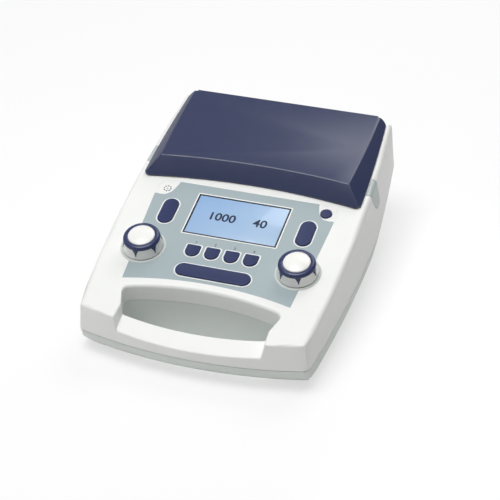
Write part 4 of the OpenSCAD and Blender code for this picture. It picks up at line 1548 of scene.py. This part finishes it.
@dataclass
class Display(SubAssembly):
    """The display: its pane, the black border, the white outline and the figures.

    Args:
        width: Width of the window, in millimetres.
        height: Height of the window.
        v: Place of its middle up the panel.
        pane_t: Depth of the pane's underside.
        pane_n: How far the pane's face lies under the panel.
        border: Width of the black border.
        outline: Width of the white outline.
        figure: Body size of the screen's figures.
        key_figure: Body size of the figures over the keys.
        key_figure_v: Their place up the panel.
    """

    width: float = 114.2
    height: float = 64.8
    v: float = 64.4
    pane_t: float = 1.2
    pane_n: float = 0.02
    border: float = 1.9
    outline: float = 1.5
    figure: float = 17.0
    key_figure: float = 5.2
    key_figure_v: float = 20.2

    def window_block(self, name: str, grow: float, low: float, high: float) -> Piece:
        """Starts a piece as a box over the window.

        Args:
            name: The piece's name.
            grow: How far it reaches outside the window.
            low: Height of its underside.
            high: Height of its face.

        Returns:
            The piece.
        """
        across, along = self.width / 2 + grow, self.height / 2 + grow
        return block(name, (-across, -along, low), (across, along, high))

    def pane(self) -> Piece:
        """Models the pane with softened edges.

        Returns:
            The piece, in place.
        """
        piece = self.window_block("display_pane", 0.0, -self.pane_t, -self.pane_n)
        with editing(piece, "EDGE"):
            pick_edges(piece, lambda a, b: a.z > -0.1 and b.z > -0.1)
            bpy.ops.mesh.bevel(offset=0.2, segments=2)
        tidy(piece)
        soften(piece)
        return placed(piece, (0.0, self.v, 0.0))

    def rim(self, name: str, grow: float, width: float, low: float, high: float,
            corner: float) -> Piece:
        """Models a flat frame with rounded corners.

        Args:
            name: The piece's name.
            grow: How far its outer edge lies outside the window.
            width: Its width.
            low: Height of its underside.
            high: Height of its face.
            corner: Radius of its outer corners.

        Returns:
            The frame.
        """
        piece = self.window_block(name, grow, low, high)
        with editing(piece, "EDGE"):
            pick_edges(piece, upright)
            bpy.ops.mesh.bevel(offset=corner, segments=5)
        with editing(piece):
            pick_faces(piece, lambda c, n: abs(n.z) > 0.9)
            bpy.ops.mesh.inset(thickness=width)
            bpy.ops.mesh.bridge_edge_loops()
        tidy(piece)
        soften(piece)
        return placed(piece, (0.0, self.v, 0.0))

    def figures(self, name: str, text: str, at: tuple[float, float], size: float,
                weight: float, face: float) -> Piece:
        """Sets plain figures as a thin layer of ink.

        Args:
            name: The piece's name.
            text: The figures.
            at: Their centre on the panel.
            size: Their body size.
            weight: How far their strokes are thickened.
            face: Height of the face that they lie on.

        Returns:
            The figures as a mesh.
        """
        half, lift = 0.015, 0.02  # half of the ink's thickness, and its middle over the face
        bpy.ops.object.select_all(action="DESELECT")
        bpy.ops.object.text_add(location=(0, 0, 0))
        curve = bpy.context.active_object.data
        curve.body, curve.size, curve.extrude, curve.offset = text, size, half, weight
        curve.align_x = curve.align_y = "CENTER"
        bpy.ops.object.convert(target="MESH")
        return placed(named(name), (*at, face + lift))

    def build(self) -> None:
        """Models the display's pieces and the figures over the four keys."""
        self.fit(self.pane(), "case", Finishes.screen, "display_glass", "display_window")
        self.fit(self.rim("display_border", 0.0, self.border, -0.1, 0.06, 0.5), "case",
                 Finishes.border, "foam_black")
        self.fit(self.rim("display_outline", self.outline + 0.1, self.outline, 0.0, 0.3, 1.6),
                 "case", Finishes.outline, "overlay_slate")
        for word, text, u in (("left", "1000", -19.0), ("right", "40", 28.0)):
            shown = self.figures(f"screen_figures_{word}", text, (u, self.v), self.figure, 0.35,
                                 -self.pane_n)
            self.fit(shown, "case", Finishes.digits, "foam_black")
        row = (spec.u for spec in Keys.specs if spec.kind is KeyKind.ROW)
        for i, u in enumerate(row, 1):
            printed = self.figures(f"key_figure_{i}", str(i), (u, self.key_figure_v),
                                   self.key_figure, 0.06, 0.0)
            self.fit(printed, "case", Finishes.ink, "foam_black")

    def dress(self) -> None:
        """Finishes what lies behind the pane."""
        self.coat(Finishes.foam, "display_gasket")
        self.coat(Finishes.nickel, "display_module")
        self.coat(Finishes.cable, "display_cable")


@dataclass
class Inside(SubAssembly):
    """Everything else that the case carries: face sheet, boards, sockets, feet and screws.

    Args:
        foot_places: The feet's middles under the case, in millimetres.
        grille_at: The grille's middle on the panel.
        grille_r: Radius of the circle that its outer holes lie on.
    """

    foot_places: tuple[tuple[float, float], ...] = (
        (-110.0, -150.0), (110.0, -150.0), (-92.0, 88.0), (92.0, 88.0))
    grille_at: tuple[float, float] = (-98.8, 97.4)
    grille_r: float = 4.2

    def build(self) -> None:
        """Turns the feet with rounded edges, and the dark discs under the grille's holes, which are
        painted shade.
        """
        profile = [(5.0, 0.4), (5.4, 0.0), (8.3, 0.0), (8.8, 0.25), (9.0, 0.8), (9.0, 5.0)]
        feet = []
        for i, (x, y) in enumerate(self.foot_places):
            foot = turned(f"foot_{i}", profile, 72, cap_start=True, cap_end=True)
            soften(foot, 35.0)
            feet.append(placed(foot, (x, y, 0.0), Matrix.Identity(4)))
        self.fit(joined(feet, "foot_set"), "case", Finishes.rubber, "rubber_black", "feet")
        # Dark discs under the grille's holes stand in for the shade inside them: painted shade.
        holes = [self.gauze(0, 0.0, 0.88, 0.0)]
        holes += [self.gauze(i + 1, self.grille_r, 0.98, math.radians(45.0 * i)) for i in range(8)]
        self.fit(joined(holes, "grille_gauze"), "case", Finishes.foam, "foam_black")

    def gauze(self, index: int, out: float, radius: float, angle: float) -> Piece:
        """Turns the dark disc under one hole of the grille: painted shade in that hole.

        Args:
            index: The hole's number.
            out: Distance of the hole from the grille's middle.
            radius: Radius of the disc.
            angle: The hole's direction from the grille's middle.

        Returns:
            The piece, in place.
        """
        low, high = -1.1, -0.5
        piece = turned(f"grille_gauze_{index}", [(radius, low), (radius, high)], 24,
                       cap_start=True, cap_end=True)
        u, v = self.grille_at
        return placed(piece, (u + out * math.cos(angle), v + out * math.sin(angle), 0.0))

    def dress(self) -> None:
        """Finishes the pieces that keep their own shape."""
        self.coat(Finishes.overlay, "panel_overlay")
        self.coat(Finishes.board, "main_board", "socket_board")
        self.coat(Finishes.cable, "socket_cable")
        self.coat(Finishes.recess, "socket_bay", "microphone", "speaker", "power_inlet")
        self.coat(Finishes.nickel, "audio_sockets", "data_socket")
        self.coat(Finishes.steel, "shell_screws", "board_screws")


# ---------------------------------------------------------------- studio


@dataclass
class Studio:
    """Pale floor, soft lamps and the camera.

    Args:
        camera_at: The camera's place, in metres.
        camera_turn: The camera's turn, in degrees.
        lens: The camera's focal length, in millimetres.
        world_left: Strength of the world's light from the left.
        world_right: Strength of the world's light from the right.
        floor_size: Side of the floor.
        floor_white: How much of the floor's look is plain white.
        lamp_size: Side of a lamp.
        lamp_aim: The point that the lamps face.
    """

    camera_at: tuple[float, float, float] = (0.56388, -1.57697, 1.19946)
    camera_turn: tuple[float, float, float] = (55.282, 1.302, 18.567)
    lens: float = 122.4
    world_left: float = 0.42
    world_right: float = 0.18
    floor_size: float = 12.0
    floor_white: float = 0.6
    lamp_size: float = 1.3
    lamp_aim: tuple[float, float, float] = (0.0, 0.0, 0.08)

    def floor(self) -> None:
        """Lays a pale, slightly glossy floor."""
        bpy.ops.object.select_all(action="DESELECT")
        bpy.ops.mesh.primitive_plane_add(size=self.floor_size, location=(0, 0, 0))
        piece = named("studio_floor")
        made = bpy.data.materials.new("pale floor")
        made.use_nodes = True
        tree = made.node_tree
        shader = tree.nodes["Principled BSDF"]
        feed(shader, {"Base Color": linear("#fcfcfc"), "Roughness": 0.12,
                      "Specular IOR Level": 0.6})
        path = add_node(tree, "LightPath")
        share = add_node(tree, "Math", {0: path.outputs["Is Camera Ray"], 1: self.floor_white},
                         operation="MULTIPLY")
        white = add_node(tree, "Emission", {"Color": (1, 1, 1, 1), "Strength": 1.0})
        both = add_node(tree, "MixShader", {0: share.outputs["Value"], 1: shader.outputs["BSDF"],
                                            2: white.outputs["Emission"]})
        feed(tree.nodes["Material Output"], {"Surface": both.outputs["Shader"]})
        piece.data.materials.append(made)

    def hang(self, name: str, data: bpy.types.ID, at: Sequence[float],
             turn: Sequence[float]) -> Piece:
        """Puts a lamp or a camera in its place.

        Args:
            name: Its name.
            data: The lamp or the camera.
            at: Its place in metres.
            turn: Its turn about x, y and z.

        Returns:
            The object.
        """
        thing = bpy.data.objects.new(name, data)
        thing.location, thing.rotation_euler = at, turn
        bpy.context.scene.collection.objects.link(thing)
        return thing

    def lamp(self, name: str, at: tuple[float, float, float], power: float) -> None:
        """Hangs one square soft lamp.

        Args:
            name: Its name.
            at: Its place in metres.
            power: Its power in watts.
        """
        data = bpy.data.lights.new(name, "AREA")
        data.shape, data.size, data.energy = "SQUARE", self.lamp_size, power
        aim = Vector(self.lamp_aim) - Vector(at)
        self.hang(name, data, at, aim.to_track_quat("-Z", "Y").to_euler())

    def camera(self) -> None:
        """Sets the camera at the photograph's viewpoint."""
        data = bpy.data.cameras.new("studio_camera")
        data.lens, data.sensor_width = self.lens, 36.0
        turn = [math.radians(angle) for angle in self.camera_turn]
        bpy.context.scene.camera = self.hang("studio_camera", data, self.camera_at, turn)

    def light(self) -> None:
        """Hangs the lamps and sets the world behind them, white to the camera."""
        world = bpy.data.worlds.new("studio")
        bpy.context.scene.world = world
        world.use_nodes = True
        tree = world.node_tree
        tree.nodes.clear()
        path = add_node(tree, "LightPath")
        where = add_node(tree, "TexCoord").outputs["Generated"]
        across = add_node(tree, "SeparateXYZ", {"Vector": where})
        power = add_node(tree, "MapRange", {"Value": across.outputs["X"], "From Min": -0.6,
                                            "From Max": 0.8, "To Min": self.world_left,
                                            "To Max": self.world_right})
        shade = add_node(tree, "Background", {"Color": (1, 1, 1, 1),
                                              "Strength": power.outputs["Result"]})
        white = add_node(tree, "Background", {"Color": (1, 1, 1, 1), "Strength": 1.0})
        seen = add_node(tree, "Math", {0: path.outputs["Is Camera Ray"],
                                       1: path.outputs["Is Transmission Ray"]}, operation="MAXIMUM")
        mix = add_node(tree, "MixShader", {0: seen.outputs["Value"],
                                           1: shade.outputs["Background"],
                                           2: white.outputs["Background"]})
        add_node(tree, "OutputWorld", {"Surface": mix.outputs["Shader"]})
        self.lamp("key_lamp", (-0.3, -0.35, 2.2), 32.0)
        self.lamp("back_lamp", (0.3, 1.6, 1.8), 16.0)

    def build(self) -> None:
        """Sets up the whole studio."""
        self.floor()
        self.camera()
        self.light()
        bpy.context.scene.view_settings.view_transform = "Standard"


def main() -> None:
    """Builds and dresses each sub-assembly in turn, then the studio."""
    logging.basicConfig(level=logging.INFO, format="%(name)s: %(message)s")
    for assembly in (CaseShells(), StorageWell(), Latches(), Keys(), Dials(), Display(), Inside()):
        assembly.build()
        assembly.dress()
        for piece in assembly.pieces:
            LOG.info("%s: %s, %d faces", type(assembly).__name__, piece.name,
                     len(piece.data.polygons))
    Studio().build()


if __name__ == "__main__":
    main()
